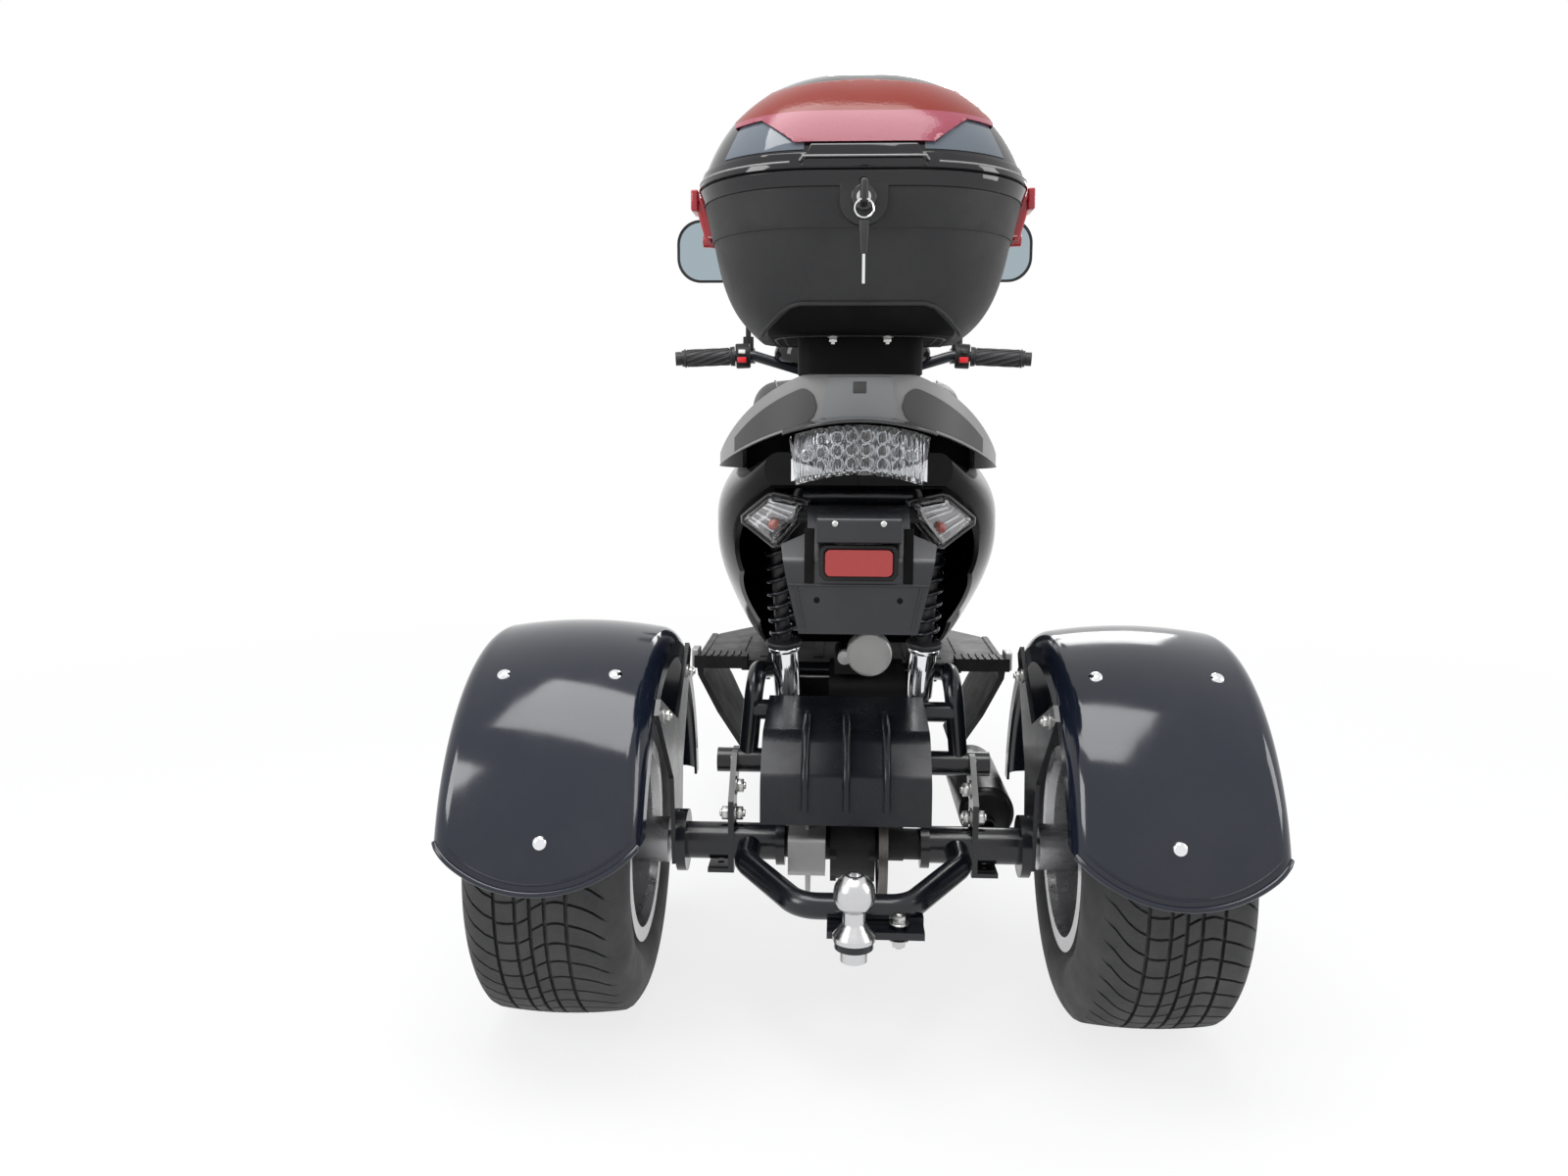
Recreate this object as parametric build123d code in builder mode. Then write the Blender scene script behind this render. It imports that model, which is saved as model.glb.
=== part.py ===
"""Motorized trike: one front wheel, two driven rear wheels, top case and tow ball.

Lengths are millimetres. While modelling, X runs to the right, Y forward from the rear axle and
Z up from the ground. The writer at the foot of each piece shifts it so that the origin lies at the
middle of the bottom of the bounding box.
"""
from build123d import *
import math
import os

os.makedirs("parts", exist_ok=True)

# Driving dimensions
WHEELBASE = 1300.0
HALF_TRACK = 367.5
WHEEL_OUT = 12.0
REAR_TYRE_R = 229.5
REAR_TYRE_W = 207.0
REAR_RIM_R = 127.0
FRONT_TYRE_R = 236.5
FRONT_TYRE_W = 120.0
FRONT_RIM_R = 152.4
RAKE = 26.0
FORK_OFFSET = 36.0
AXLE_SHAFT_D = 25.0
FIT = 0.3

# Rear fenders
FENDER_R = 303.0
FENDER_HALF_W = 122.0
FENDER_WALL = 4.0
STAY_WALL = 6.2

# Body
PANEL_WALL = 4.0
TAIL_Y = -150.0
PANEL_FRONT_Y = 552.0
SEAT_LINE = [(-400, 766), (232, 766), (285, 702), (700, 690)]
SEAT_HINGE = (0, 566, 690)

# Top case
CASE_Y = -115.0
CASE_FLOOR_Z = 897.0
CASE_SEAM_Z = 1056.0
CASE_WALL = 3.0
LID_HINGE = (0, 79, 1052)
KEY_END_Y = -340.0

# Front fender
FRONT_FENDER_R = 264.0
FRONT_FENDER_LIFT = 24.0

# Derived
AXLE_Z = REAR_TYRE_R
WHEEL_X = HALF_TRACK + WHEEL_OUT
FRONT_Z = FRONT_TYRE_R
AXLE_END = HALF_TRACK - FENDER_HALF_W - FIT - STAY_WALL
REAR_END_Y = KEY_END_Y
FRONT_END_Y = WHEELBASE + FRONT_FENDER_R * math.cos(math.radians(FRONT_FENDER_LIFT))
MIDDLE_Y = (REAR_END_Y + FRONT_END_Y) / 2
RAKE_SIN = math.sin(math.radians(RAKE))
RAKE_COS = math.cos(math.radians(RAKE))
STEER = Plane(
    origin=(0, WHEELBASE - FORK_OFFSET / RAKE_COS, FRONT_Z),
    x_dir=(1, 0, 0),
    z_dir=(0, -RAKE_SIN, RAKE_COS),
)
REAR_AXIS = Axis((0, 0, AXLE_Z), (1, 0, 0))
FRONT_AXIS = Axis((0, WHEELBASE, FRONT_Z), (1, 0, 0))


def save(part, name):
    """Labels a finished piece, shifts it to the middle of the box and writes it."""
    placed = Pos(0, -MIDDLE_Y, 0) * part
    placed.label = name
    export_step(placed, f"parts/{name}.step")


def box(x, y, z, mode=Mode.ADD):
    """A box between two X, two Y and two Z values, in the part being built."""
    with Locations(((x[0] + x[1]) / 2, (y[0] + y[1]) / 2, (z[0] + z[1]) / 2)):
        Box(x[1] - x[0], y[1] - y[0], z[1] - z[0], mode=mode)


def rod(start, end, diameter, mode=Mode.ADD):
    """A round bar between two points, in the part being built."""
    run = Vector(*end) - Vector(*start)
    with BuildSketch(Plane(origin=start, z_dir=run)) as end_face:
        Circle(diameter / 2)
    extrude(end_face.sketch, amount=run.length, mode=mode)


def tube(points, bend, diameter):
    """A round bar along straight runs joined by arcs."""
    with BuildPart() as made:
        with BuildLine() as path:
            FilletPolyline(*points, radius=bend)
        with BuildSketch(Plane(origin=path.line @ 0, z_dir=path.line % 0)):
            Circle(diameter / 2)
        sweep()
    return made.part


def side_plate(points, x0, x1, mode=Mode.ADD):
    """A plate with an outline of (Y, Z) points between two X values, in the part being built."""
    with BuildSketch(Plane.YZ.offset(x0)) as outline:
        with BuildLine():
            Polyline(*points, close=True)
        make_face()
    extrude(outline.sketch, amount=x1 - x0, mode=mode)


def rear_plate(points, y0, y1, mode=Mode.ADD):
    """A plate with an outline of (X, Z) points between two Y values, in the part being built."""
    with BuildSketch(Plane.XZ.offset(-y0)) as outline:
        with BuildLine():
            Polyline(*points, close=True)
        make_face()
    extrude(outline.sketch, amount=-(y1 - y0), mode=mode)


def lofted_up(sections, grow=0.0, x_mid=0.0, y_mid=0.0):
    """A loft up Z through rounded rectangles: height, X size, Y size, corner radius."""
    with BuildPart() as made:
        for height, size_x, size_y, corner in sections:
            with BuildSketch(Plane.XY.offset(height)):
                with Locations((x_mid, y_mid)):
                    RectangleRounded(size_x + 2 * grow, size_y + 2 * grow, corner + grow)
        loft()
    return made.part


def lofted_along(sections, grow=0.0, ends=0.0):
    """A loft along Y through rounded rectangles: Y, half width, low Z, high Z, corner radius."""
    with BuildPart() as made:
        for index, (y, half, low, high, corner) in enumerate(sections):
            shift = -ends if index == 0 else ends if index == len(sections) - 1 else 0
            with BuildSketch(Plane.XZ.offset(-(y + shift))):
                with Locations((0, (low + high) / 2)):
                    RectangleRounded(2 * (half + grow), high - low + 2 * grow, corner + grow)
        loft()
    return made.part


def wheel_plane(x, y, z):
    """A plane through a wheel's axis: local x across the wheel, local y outward from the axle."""
    return Plane(origin=(x, y, z), x_dir=(1, 0, 0), z_dir=(0, -1, 0))


# Rear wheels: tyre, rim with spokes, hub and axle shaft
SPOKES = 5
LUG_NUTS = 4
LUG_CIRCLE = 101.6
BEAD_HALF = 88.0

for side, name in ((-1, "left"), (1, "right")):
    plane = wheel_plane(side * WHEEL_X, 0, AXLE_Z)
    half = REAR_TYRE_W / 2
    with BuildPart() as rear_tyre:
        with BuildSketch(plane):
            with BuildLine():
                Polyline((BEAD_HALF, 139), (BEAD_HALF, REAR_RIM_R + FIT),
                         (-BEAD_HALF, REAR_RIM_R + FIT), (-BEAD_HALF, 139))
                ThreePointArc((-BEAD_HALF, 139), (-half, 180), (-half + 13, 216))
                ThreePointArc((-half + 13, 216), (-half + 18, 221.5), (-half + 26, 224.5))
                ThreePointArc((-half + 26, 224.5), (0, REAR_TYRE_R), (half - 26, 224.5))
                ThreePointArc((half - 26, 224.5), (half - 18, 221.5), (half - 13, 216))
                ThreePointArc((half - 13, 216), (half, 180), (BEAD_HALF, 139))
            make_face()
        revolve(axis=REAR_AXIS)
    save(rear_tyre.part, f"rear_tyre_{name}")

    with BuildPart() as rear_rim:
        with BuildSketch(plane):
            with BuildLine():
                Polyline(
                    (-96, 118), (-96, 137), (-88.5, 137), (-88.5, 127), (88.5, 127), (88.5, 137),
                    (96, 137), (96, 118), (84, 116), (side * 50, 109), (-84, 116),
                    close=True,
                )
            make_face()
        revolve(axis=REAR_AXIS)
        with BuildSketch(plane):
            with BuildLine():
                Polyline(
                    (side * 34, 0), (side * 34, 40), (side * 52, 60), (side * 56, 112),
                    (side * 42, 112), (side * 34, 66), (side * 6, 62), (side * 6, 0),
                    close=True,
                )
            make_face()
        revolve(axis=REAR_AXIS)
        with BuildSketch(Plane.YZ.offset(side * WHEEL_X)):
            with Locations((0, AXLE_Z)):
                with PolarLocations(87, SPOKES):
                    SlotOverall(44, 26, rotation=90)
        extrude(amount=side * 90, mode=Mode.SUBTRACT)
        hub_face = side * WHEEL_X
        rod((hub_face + side * 34, 0, AXLE_Z), (hub_face + side * 58, 0, AXLE_Z), 56)
        rod((side * 70, 0, AXLE_Z), (hub_face + side * 10, 0, AXLE_Z), AXLE_SHAFT_D)
        rod((side * (AXLE_END + 12), 0, AXLE_Z), (hub_face + side * 8, 0, AXLE_Z), 62)
        with BuildSketch(Plane.YZ.offset(hub_face + side * 36)):
            with Locations((0, AXLE_Z)):
                with PolarLocations(LUG_CIRCLE / 2, LUG_NUTS, start_angle=45):
                    RegularPolygon(10, 6)
        extrude(amount=side * 24)
    save(rear_rim.part, f"rear_rim_{name}")

# Axle carrier: axle tubes, collars, side plates with holed tabs, cross tubes, arms, fender stays
TUBE_D = 50.0
TUBE_BORE = 38.0
TAB_HOLE_R = 4.5
TAB_X = 181.0
CROSS_Y = 50.0
CROSS_Z = 330.0
SHOCK_LOW = (92.0, 85.0, 402.0)
SHOCK_HIGH = (112.0, 45.0, 690.0)
SHOCK_CROSS = (55.0, 402.0)
ARM_PIVOT = (420.0, 385.0)
PIVOT_HALF = 138.0

arms = [
    tube(
        [(s * 148, CROSS_Y, CROSS_Z), (s * 137, 58, 458), (s * 124, ARM_PIVOT[0], ARM_PIVOT[1])],
        40,
        26,
    )
    for s in (-1, 1)
]

with BuildPart() as axle_carrier:
    rod((-190, CROSS_Y, CROSS_Z), (190, CROSS_Y, CROSS_Z), 34)
    rod((-139, *SHOCK_CROSS), (139, *SHOCK_CROSS), 28)
    rod((-PIVOT_HALF, *ARM_PIVOT), (PIVOT_HALF, *ARM_PIVOT), 26)
    add(arms)
    for s in (-1, 1):
        rod((s * 92, 0, AXLE_Z), (s * (AXLE_END - 1), 0, AXLE_Z), TUBE_D)
        rod((s * (AXLE_END - 13), 0, AXLE_Z), (s * AXLE_END, 0, AXLE_Z), 84)
        rod((s * 92, 0, AXLE_Z), (s * 104, 0, AXLE_Z), 64)
        side_plate(
            [(-24, 192), (24, 192), (26, 285), (66, 312), (66, 346), (30, 346), (-24, 292)],
            s * 161,
            s * 169,
        )
        box(sorted((s * 161, s * 197)), (-24, 24), (192, 198))
        side_plate(
            [(-30, 205), (30, 205), (46, 330), (140, 470), (120, 484), (0, 400),
             (-150, 462), (-168, 446), (-46, 330)],
            s * AXLE_END,
            s * (AXLE_END + STAY_WALL),
        )
        rod((s * 74, SHOCK_LOW[1], SHOCK_LOW[2]), (s * 112, SHOCK_LOW[1], SHOCK_LOW[2]), 10)
        side_plate([(50, 390), (50, 414), (96, 412), (96, 392)], s * 70, s * 76)
    for s in (-1, 1):
        rod((s * 104, 0, AXLE_Z), (s * (AXLE_END - 13), 0, AXLE_Z), TUBE_BORE, mode=Mode.SUBTRACT)
        rod((s * 90, 0, AXLE_Z), (s * (AXLE_END + 11), 0, AXLE_Z), AXLE_SHAFT_D + 2 * FIT, mode=Mode.SUBTRACT)
        rod((s * TAB_X, 0, 180), (s * TAB_X, 0, 202), 2 * TAB_HOLE_R, mode=Mode.SUBTRACT)
save(axle_carrier.part, "axle_carrier")

# Hitch: U-shaped tube behind the axle, ball plate and ball
HITCH_D = 32.0
BALL_Y = -250.0
BALL_Z = 259.0
BALL_D = 50.0
PLATE_TOP = 203.0

hitch_path = [(s * x, y, z) for s, x, y, z in (
    (-1, 140, -TUBE_D / 2 - FIT, 229.5), (-1, 140, -80, 229.5), (-1, 66, -198, 221),
    (1, 66, -198, 221), (1, 140, -80, 229.5), (1, 140, -TUBE_D / 2 - FIT, 229.5),
)]
hitch_tube = tube(hitch_path, 42, HITCH_D)
with BuildPart() as hitch_bar:
    add(hitch_tube)
    box((-23, 23), (BALL_Y, -182), (PLATE_TOP - 9, PLATE_TOP))
    rod((0, BALL_Y, PLATE_TOP - 9), (0, BALL_Y, PLATE_TOP), 46)
    box((-32, 84), (-230, -182), (PLATE_TOP - 9, PLATE_TOP))
    box((-32, 84), (-206, -182), (PLATE_TOP - 9, 212))
    rod((54, -214, PLATE_TOP - 14), (54, -214, PLATE_TOP + 6), 15)
    rod((0, BALL_Y, PLATE_TOP - 30), (0, BALL_Y, PLATE_TOP + 1), 20 + 2 * FIT, mode=Mode.SUBTRACT)
save(hitch_bar.part, "hitch_bar")

with BuildPart() as tow_ball:
    with BuildSketch(wheel_plane(0, BALL_Y, 0)):
        with BuildLine():
            Polyline(
                (0, 178), (16, 178), (16, PLATE_TOP - 9 - FIT), (10, PLATE_TOP - 9 - FIT),
                (10, PLATE_TOP + FIT), (25, PLATE_TOP + FIT), (25, 209), (13.5, 224),
            )
            Line((13.5, 224), (13.5, BALL_Z - 21))
            RadiusArc((13.5, BALL_Z - 21), (11, BALL_Z + 22.4), -BALL_D / 2)
            Polyline((11, BALL_Z + 22.4), (7, BALL_Z + 22.4), (7, BALL_Z + 19), (0, BALL_Z + 19), (0, 178))
        make_face()
    revolve(axis=Axis((0, BALL_Y, 0), (0, 0, 1)))
save(tow_ball.part, "tow_ball")

# Drive: housing on the axle, chain with sprockets, brake
CHAIN_X = (34.0, 46.0)
CHAIN_PITCH = 15.0
SPROCKET_R = 78.0
ENGINE_SPROCKET_R = 34.0
OUTPUT_Y = 190.0
OUTPUT_Z = 262.0

with BuildPart() as final_drive:
    rod((-30, 0, AXLE_Z), (30, 0, AXLE_Z), 96)
    rod((-69.5, 0, AXLE_Z), (69.5, 0, AXLE_Z), 46)
    for x in (-30, 22):
        with BuildSketch(Plane.YZ.offset(x)):
            with Locations((0, AXLE_Z)):
                with PolarLocations(44, 6):
                    RegularPolygon(8, 6)
        extrude(amount=8)
    for s in (-1, 1):
        rod((s * 60, 0, AXLE_Z), (s * (92 - FIT), 0, AXLE_Z), 42)
    for s in (-1, 1):
        rod((s * 69, 0, AXLE_Z), (s * 110, 0, AXLE_Z), AXLE_SHAFT_D + 2 * FIT, mode=Mode.SUBTRACT)
save(final_drive.part, "final_drive")

with BuildPart() as drive_chain:
    span = math.hypot(OUTPUT_Y, OUTPUT_Z - AXLE_Z)
    tilt = math.degrees(math.atan2(OUTPUT_Z - AXLE_Z, OUTPUT_Y))
    lean = math.degrees(math.asin((SPROCKET_R - ENGINE_SPROCKET_R) / span))
    big = (0, AXLE_Z)
    small = (OUTPUT_Y, OUTPUT_Z)

    def rim_point(centre, radius, degrees):
        turn = math.radians(degrees)
        return (centre[0] + radius * math.cos(turn), centre[1] + radius * math.sin(turn))

    for x0, x1, inward, outward in ((34.0, 37.0, -5.5, 5.5), (43.0, 46.0, -5.5, 5.5), (37.0, 43.0, -3.5, 3.5)):
        with BuildSketch(Plane.YZ.offset(x0)):
            for grow, mode in ((outward, Mode.ADD), (inward, Mode.SUBTRACT)):
                upper = 90 + tilt - lean
                lower = 270 + tilt + lean
                big_r = SPROCKET_R + grow
                small_r = ENGINE_SPROCKET_R + grow
                with BuildLine():
                    a = rim_point(big, big_r, upper)
                    b = rim_point(big, big_r, 180 + tilt)
                    c = rim_point(big, big_r, lower)
                    d = rim_point(small, small_r, lower)
                    e = rim_point(small, small_r, tilt)
                    f = rim_point(small, small_r, upper)
                    ThreePointArc(a, b, c)
                    Line(c, d)
                    ThreePointArc(d, e, f)
                    Line(f, a)
                make_face(mode=mode)
        extrude(amount=x1 - x0)
    for centre, radius, bore in ((big, SPROCKET_R - 2.0, 47.0), (small, ENGINE_SPROCKET_R - 2.0, 20.6)):
        rod((37.5, *centre), (42.5, *centre), 2 * radius)
    for centre, bore in ((big, 46.0 + 2 * FIT), (small, 20.0 + 2 * FIT)):
        rod((30, *centre), (50, *centre), bore, mode=Mode.SUBTRACT)
    with BuildSketch(Plane.YZ.offset(30)):
        with Locations(big):
            with PolarLocations(54, 6):
                Circle(11)
    extrude(amount=20, mode=Mode.SUBTRACT)
save(drive_chain.part, "drive_chain")

with BuildPart() as rear_brake:
    rod((-62, 0, AXLE_Z), (-58, 0, AXLE_Z), 176)
    rod((-62.5, 0, AXLE_Z), (-57.5, 0, AXLE_Z), 46 + 2 * FIT, mode=Mode.SUBTRACT)
    with BuildSketch(Plane.YZ.offset(-64)):
        with Locations((0, AXLE_Z)):
            with PolarLocations(64, 12):
                Circle(5)
    extrude(amount=8, mode=Mode.SUBTRACT)
    box((-84, -36), (-104, -56), (AXLE_Z - 10, AXLE_Z + 44))
    fillet(rear_brake.edges().filter_by(Axis.X).group_by(Axis.Y)[0], 8)
    box((-57.8, -55), (-70, -40), (AXLE_Z, AXLE_Z + 20))
save(rear_brake.part, "rear_brake")

# Engine: crankcase, gearbox, finned cylinder, fan cover, output shaft; belt case on the left
with BuildPart() as engine:
    box((-36, 84), (245, 395), (225, 415))
    fillet(engine.edges().filter_by(Axis.X), 26)
    box((-36, 28), (132, 260), (205, 330))
    rod((84, 320, 312), (112, 320, 312), 170)
    rod((20, OUTPUT_Y, OUTPUT_Z), (52, OUTPUT_Y, OUTPUT_Z), 20)
    box((-24, 36), (390, 512), (268, 352))
    for y in range(402, 470, 10):
        box((-34, 46), (y, y + 5), (258, 362))
    box((-30, 42), (470, 500), (262, 358))
    box((-28, 46), (240, 330), (415, 452))
    fillet(engine.faces().sort_by(Axis.Z)[-1].edges(), 12)
    rod((26, 236, 448), (26, 300, 448), 66)
    rod((-12, 240, 442), (-12, 264, 442), 18)
    for x in (-34, 62):
        side_plate([(360, 366), (360, 404), (438, 402), (438, 368)], x, x + 12)
    rod((-50, *ARM_PIVOT), (90, *ARM_PIVOT), 26 + 2 * FIT, mode=Mode.SUBTRACT)
save(engine.part, "engine")

with BuildPart() as belt_case:
    with BuildSketch(Plane.YZ.offset(-98)):
        with BuildLine():
            line_up = Line((190, OUTPUT_Z + 84), (345, 385))
            far = ThreePointArc((345, 385), (417, 315), (345, 243))
            line_down = Line((345, 243), (190, OUTPUT_Z - 84))
            near = ThreePointArc((190, OUTPUT_Z - 84), (106, OUTPUT_Z), (190, OUTPUT_Z + 84))
        make_face()
    extrude(amount=98 - 36 - FIT)
    fillet(belt_case.faces().sort_by(Axis.X)[0].edges(), 12)
    rod((-104, 345, 315), (-97, 345, 315), 60)
    rod((-120, OUTPUT_Y, OUTPUT_Z), (-97, OUTPUT_Y, OUTPUT_Z), 24)
    side_plate([(178, 255), (190, 275), (40, 232), (40, 214)], -118, -108)
    rod((-152, 46, 222), (-106, 46, 222), 20)
save(belt_case.part, "belt_case")

MUFFLER_Z = 242.0
header = tube(
    [(6, 455, 257.7), (6, 455, 205), (110, 452, 205), (195, 392, MUFFLER_Z), (195, 330, MUFFLER_Z)], [22, 40, 30], 28
)
with BuildPart() as muffler:
    add(header)
    rod((195, 92, MUFFLER_Z), (195, 336, MUFFLER_Z), 80)
    fillet(muffler.edges().filter_by(GeomType.CIRCLE).filter_by(lambda e: e.radius > 39), 10)
    rod((195, 84, MUFFLER_Z - 16), (195, 120, MUFFLER_Z - 16), 26)
    rod((195, 80, MUFFLER_Z - 16), (195, 118, MUFFLER_Z - 16), 20, mode=Mode.SUBTRACT)
save(muffler.part, "muffler")

# Ribbed cover over the drive
GUARD_X = (-118.0, 97.0)
GUARD_WALL = 3.0
with BuildPart() as engine_guard:
    with BuildSketch(Plane.YZ.offset(GUARD_X[0])):
        with BuildLine() as guard_line:
            FilletPolyline((64, 417.5), (-84, 403), (-131, 352), (-133, 300), radius=[34, 34])
            offset(amount=GUARD_WALL, side=Side.RIGHT)
        make_face()
    extrude(amount=GUARD_X[1] - GUARD_X[0])
    for x in (-62, -10, 41):
        with BuildSketch(Plane.YZ.offset(x - 5)):
            with BuildLine():
                FilletPolyline((-20, 411), (-84, 405), (-132, 353), (-134, 316), radius=[34, 34])
                offset(amount=6, side=Side.RIGHT)
            make_face()
        extrude(amount=10)
save(engine_guard.part, "engine_guard")

# Shocks: eyes and chrome bodies, springs of half turns
SPRING_R = 16.0
SPRING_WIRE = 6.5
SPRING_HALF_TURNS = 14
SPRING_FROM = 100.0
SPRING_TO = 240.0


def shock_plane(s):
    """The plane at a shock's lower eye with its z along the shock."""
    low = Vector(s * SHOCK_LOW[0], SHOCK_LOW[1], SHOCK_LOW[2])
    high = Vector(s * SHOCK_HIGH[0], SHOCK_HIGH[1], SHOCK_HIGH[2])
    return Plane(origin=low, x_dir=(1, 0, 0), z_dir=high - low)


SHOCK_LENGTH = (Vector(*SHOCK_HIGH) - Vector(*SHOCK_LOW)).length
shock_parts = []
spring_parts = []
for s in (-1, 1):
    frame = shock_plane(s)
    with BuildPart() as shock:
        for start, end, diameter in (
            (8, SPRING_FROM - 4, 27), (SPRING_FROM - 14, SPRING_FROM - 4, 36),
            (SPRING_FROM - 6, SHOCK_LENGTH - 10, 14), (SPRING_TO + 4, SPRING_TO + 14, 38),
            (SPRING_TO + 12, SHOCK_LENGTH - 8, 26),
        ):
            with BuildSketch(frame.offset(start)):
                Circle(diameter / 2)
            extrude(amount=end - start)
        for eye in (SHOCK_LOW, SHOCK_HIGH):
            rod((s * (eye[0] - 12), eye[1], eye[2]), (s * (eye[0] + 12), eye[1], eye[2]), 26)
        for eye in (SHOCK_LOW, SHOCK_HIGH):
            rod((s * (eye[0] - 13), eye[1], eye[2]), (s * (eye[0] + 13), eye[1], eye[2]), 10 + 2 * FIT,
                mode=Mode.SUBTRACT)
    shock_parts.append(shock.part)
    rise = (SPRING_TO - SPRING_FROM - SPRING_WIRE) / SPRING_HALF_TURNS
    with BuildPart() as spring:
        with BuildLine(frame.offset(SPRING_FROM + SPRING_WIRE / 2 - 3.5)) as coil:
            for turn in range(SPRING_HALF_TURNS):
                hand = 1 if turn % 2 == 0 else -1
                z = turn * rise
                ThreePointArc(
                    (hand * SPRING_R, 0, z), (0, hand * SPRING_R, z + rise / 2), (-hand * SPRING_R, 0, z + rise)
                )
        with BuildSketch(Plane(origin=coil.line @ 0, z_dir=coil.line % 0)):
            Circle(SPRING_WIRE / 2)
        sweep()
    spring_parts.append(spring.part)

with BuildPart() as shock_bodies:
    add(shock_parts)
save(shock_bodies.part, "shock_bodies")
with BuildPart() as shock_springs:
    add(spring_parts)
save(shock_springs.part, "shock_springs")

# Rear fenders: one crowned section turned about the axle, rear edge cut to an arc
FENDER_FRONT = 4.0
FENDER_REAR = 175.0
SKIRT_R = 252.0
REAR_ARC_R = 174.0
REAR_ARC_Z = 441.0

for side, name in ((-1, "left"), (1, "right")):
    mid = side * HALF_TRACK
    wall = FENDER_WALL
    edge = FENDER_HALF_W
    lift = math.radians(FENDER_FRONT)
    front_plane = Plane(
        origin=(mid, 0, AXLE_Z), x_dir=(1, 0, 0), z_dir=(0, -math.sin(lift), math.cos(lift))
    )
    with BuildPart() as fender:
        with BuildSketch(front_plane):
            with BuildLine():
                Line((-edge, SKIRT_R), (-edge, 274))
                ThreePointArc((-edge, 274), (-edge + 8, 288), (-edge + 24, 295))
                ThreePointArc((-edge + 24, 295), (0, FENDER_R), (edge - 24, 295))
                ThreePointArc((edge - 24, 295), (edge - 8, 288), (edge, 274))
                Polyline((edge, 274), (edge, SKIRT_R), (edge - wall, SKIRT_R), (edge - wall, 274))
                ThreePointArc((edge - wall, 274), (edge - 11, 285), (edge - 25, 291))
                ThreePointArc((edge - 25, 291), (0, FENDER_R - wall), (-edge + 25, 291))
                ThreePointArc((-edge + 25, 291), (-edge + 11, 285), (-edge + wall, 274))
                Polyline((-edge + wall, 274), (-edge + wall, SKIRT_R), (-edge, SKIRT_R))
            make_face()
        revolve(axis=REAR_AXIS, revolution_arc=FENDER_REAR - FENDER_FRONT)
        with BuildSketch(Plane.XZ.offset(120)):
            with Locations((mid, 265)):
                Rectangle(280, 230)
            with Locations((mid, REAR_ARC_Z)):
                Circle(REAR_ARC_R, mode=Mode.SUBTRACT)
        extrude(amount=280, mode=Mode.SUBTRACT)
    save(fender.part, f"fender_{name}")

# Frame: head tube, down tube, floor rails, rear rails, mounts for seat, shocks, arms and tail
RAIL_X = 140.0
RAIL_D = 25.0
FLOOR_RAIL_X = 95.0
FLOOR_RAIL_Z = 275.0
CROSS_ROD_D = 21.0
HEAD_FROM = 449.0
HEAD_TO = 649.0
STEM_D = 26.0
TAIL_TUBE = (-130.0, 712.0)
BRACKET_X = 145.0

rails = [
    tube(
        [(s * FLOOR_RAIL_X, 880, FLOOR_RAIL_Z), (s * FLOOR_RAIL_X, 530, FLOOR_RAIL_Z),
         (s * RAIL_X, 425, 640), (s * RAIL_X, 250, 672), (s * RAIL_X, 40, 706),
         (s * 66, TAIL_TUBE[0], TAIL_TUBE[1])],
        [70, 70, 60, 60],
        RAIL_D,
    )
    for s in (-1, 1)
]
down_tube = tube([(0, 1016, 735), (0, 988, 345), (0, 868, FLOOR_RAIL_Z)], 60, 38)
with BuildPart() as main_frame:
    with BuildSketch(STEER.offset(HEAD_FROM)):
        Circle(25)
    extrude(amount=HEAD_TO - HEAD_FROM)
    add(down_tube)
    add(rails)
    rod((-FLOOR_RAIL_X, 868, FLOOR_RAIL_Z), (FLOOR_RAIL_X, 868, FLOOR_RAIL_Z), CROSS_ROD_D)
    rod((-FLOOR_RAIL_X, 560, FLOOR_RAIL_Z), (FLOOR_RAIL_X, 560, FLOOR_RAIL_Z), CROSS_ROD_D)
    rod((-66, *TAIL_TUBE), (66, *TAIL_TUBE), 20)
    box((-18, 18), (930 + FIT, 1020), (694, 706))
    for s in (-1, 1):
        side_plate([(404, 370), (404, 400), (500, 402), (500, 372)], s * (PIVOT_HALF + FIT), s * BRACKET_X)
        side_plate([(468, 372), (468, 400), (510, 400), (510, 372)], s * 104, s * BRACKET_X)
        rod((s * 98, SHOCK_HIGH[1], SHOCK_HIGH[2]), (s * 142, SHOCK_HIGH[1], SHOCK_HIGH[2]), 10)
        side_plate([(30, 680), (30, 712), (60, 708), (60, 680)], s * 126, s * 134)
    with BuildSketch(STEER.offset(HEAD_FROM - 1)):
        Circle(STEM_D / 2 + FIT)
    extrude(amount=HEAD_TO - HEAD_FROM + 2, mode=Mode.SUBTRACT)
save(main_frame.part, "main_frame")

# Floor, skirts and footrests
FLOOR_TOP = 370.0
FLOOR_WALL = 12.0
FLOOR_HALF = 272.0
with BuildPart() as floor_board:
    with BuildSketch(Plane.XY.offset(FLOOR_TOP - FLOOR_WALL)):
        with BuildLine():
            FilletPolyline(
                (-150, 528), (150, 528), (FLOOR_HALF, 580), (FLOOR_HALF, 850), (200, 957),
                (-200, 957), (-FLOOR_HALF, 850), (-FLOOR_HALF, 580), radius=20, close=True,
            )
        make_face()
    extrude(amount=FLOOR_WALL)
    for s in (-1, 1):
        box(sorted((s * 86, s * 104)), (600, 850), (FLOOR_RAIL_Z + RAIL_D / 2 + FIT, FLOOR_TOP - 6))
    for x in (-210, -160, -110, -60, 60, 110, 160, 210):
        box((x - 9, x + 9), (600, 830), (FLOOR_TOP, FLOOR_TOP + 3))
save(floor_board.part, "floor_board")

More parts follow.
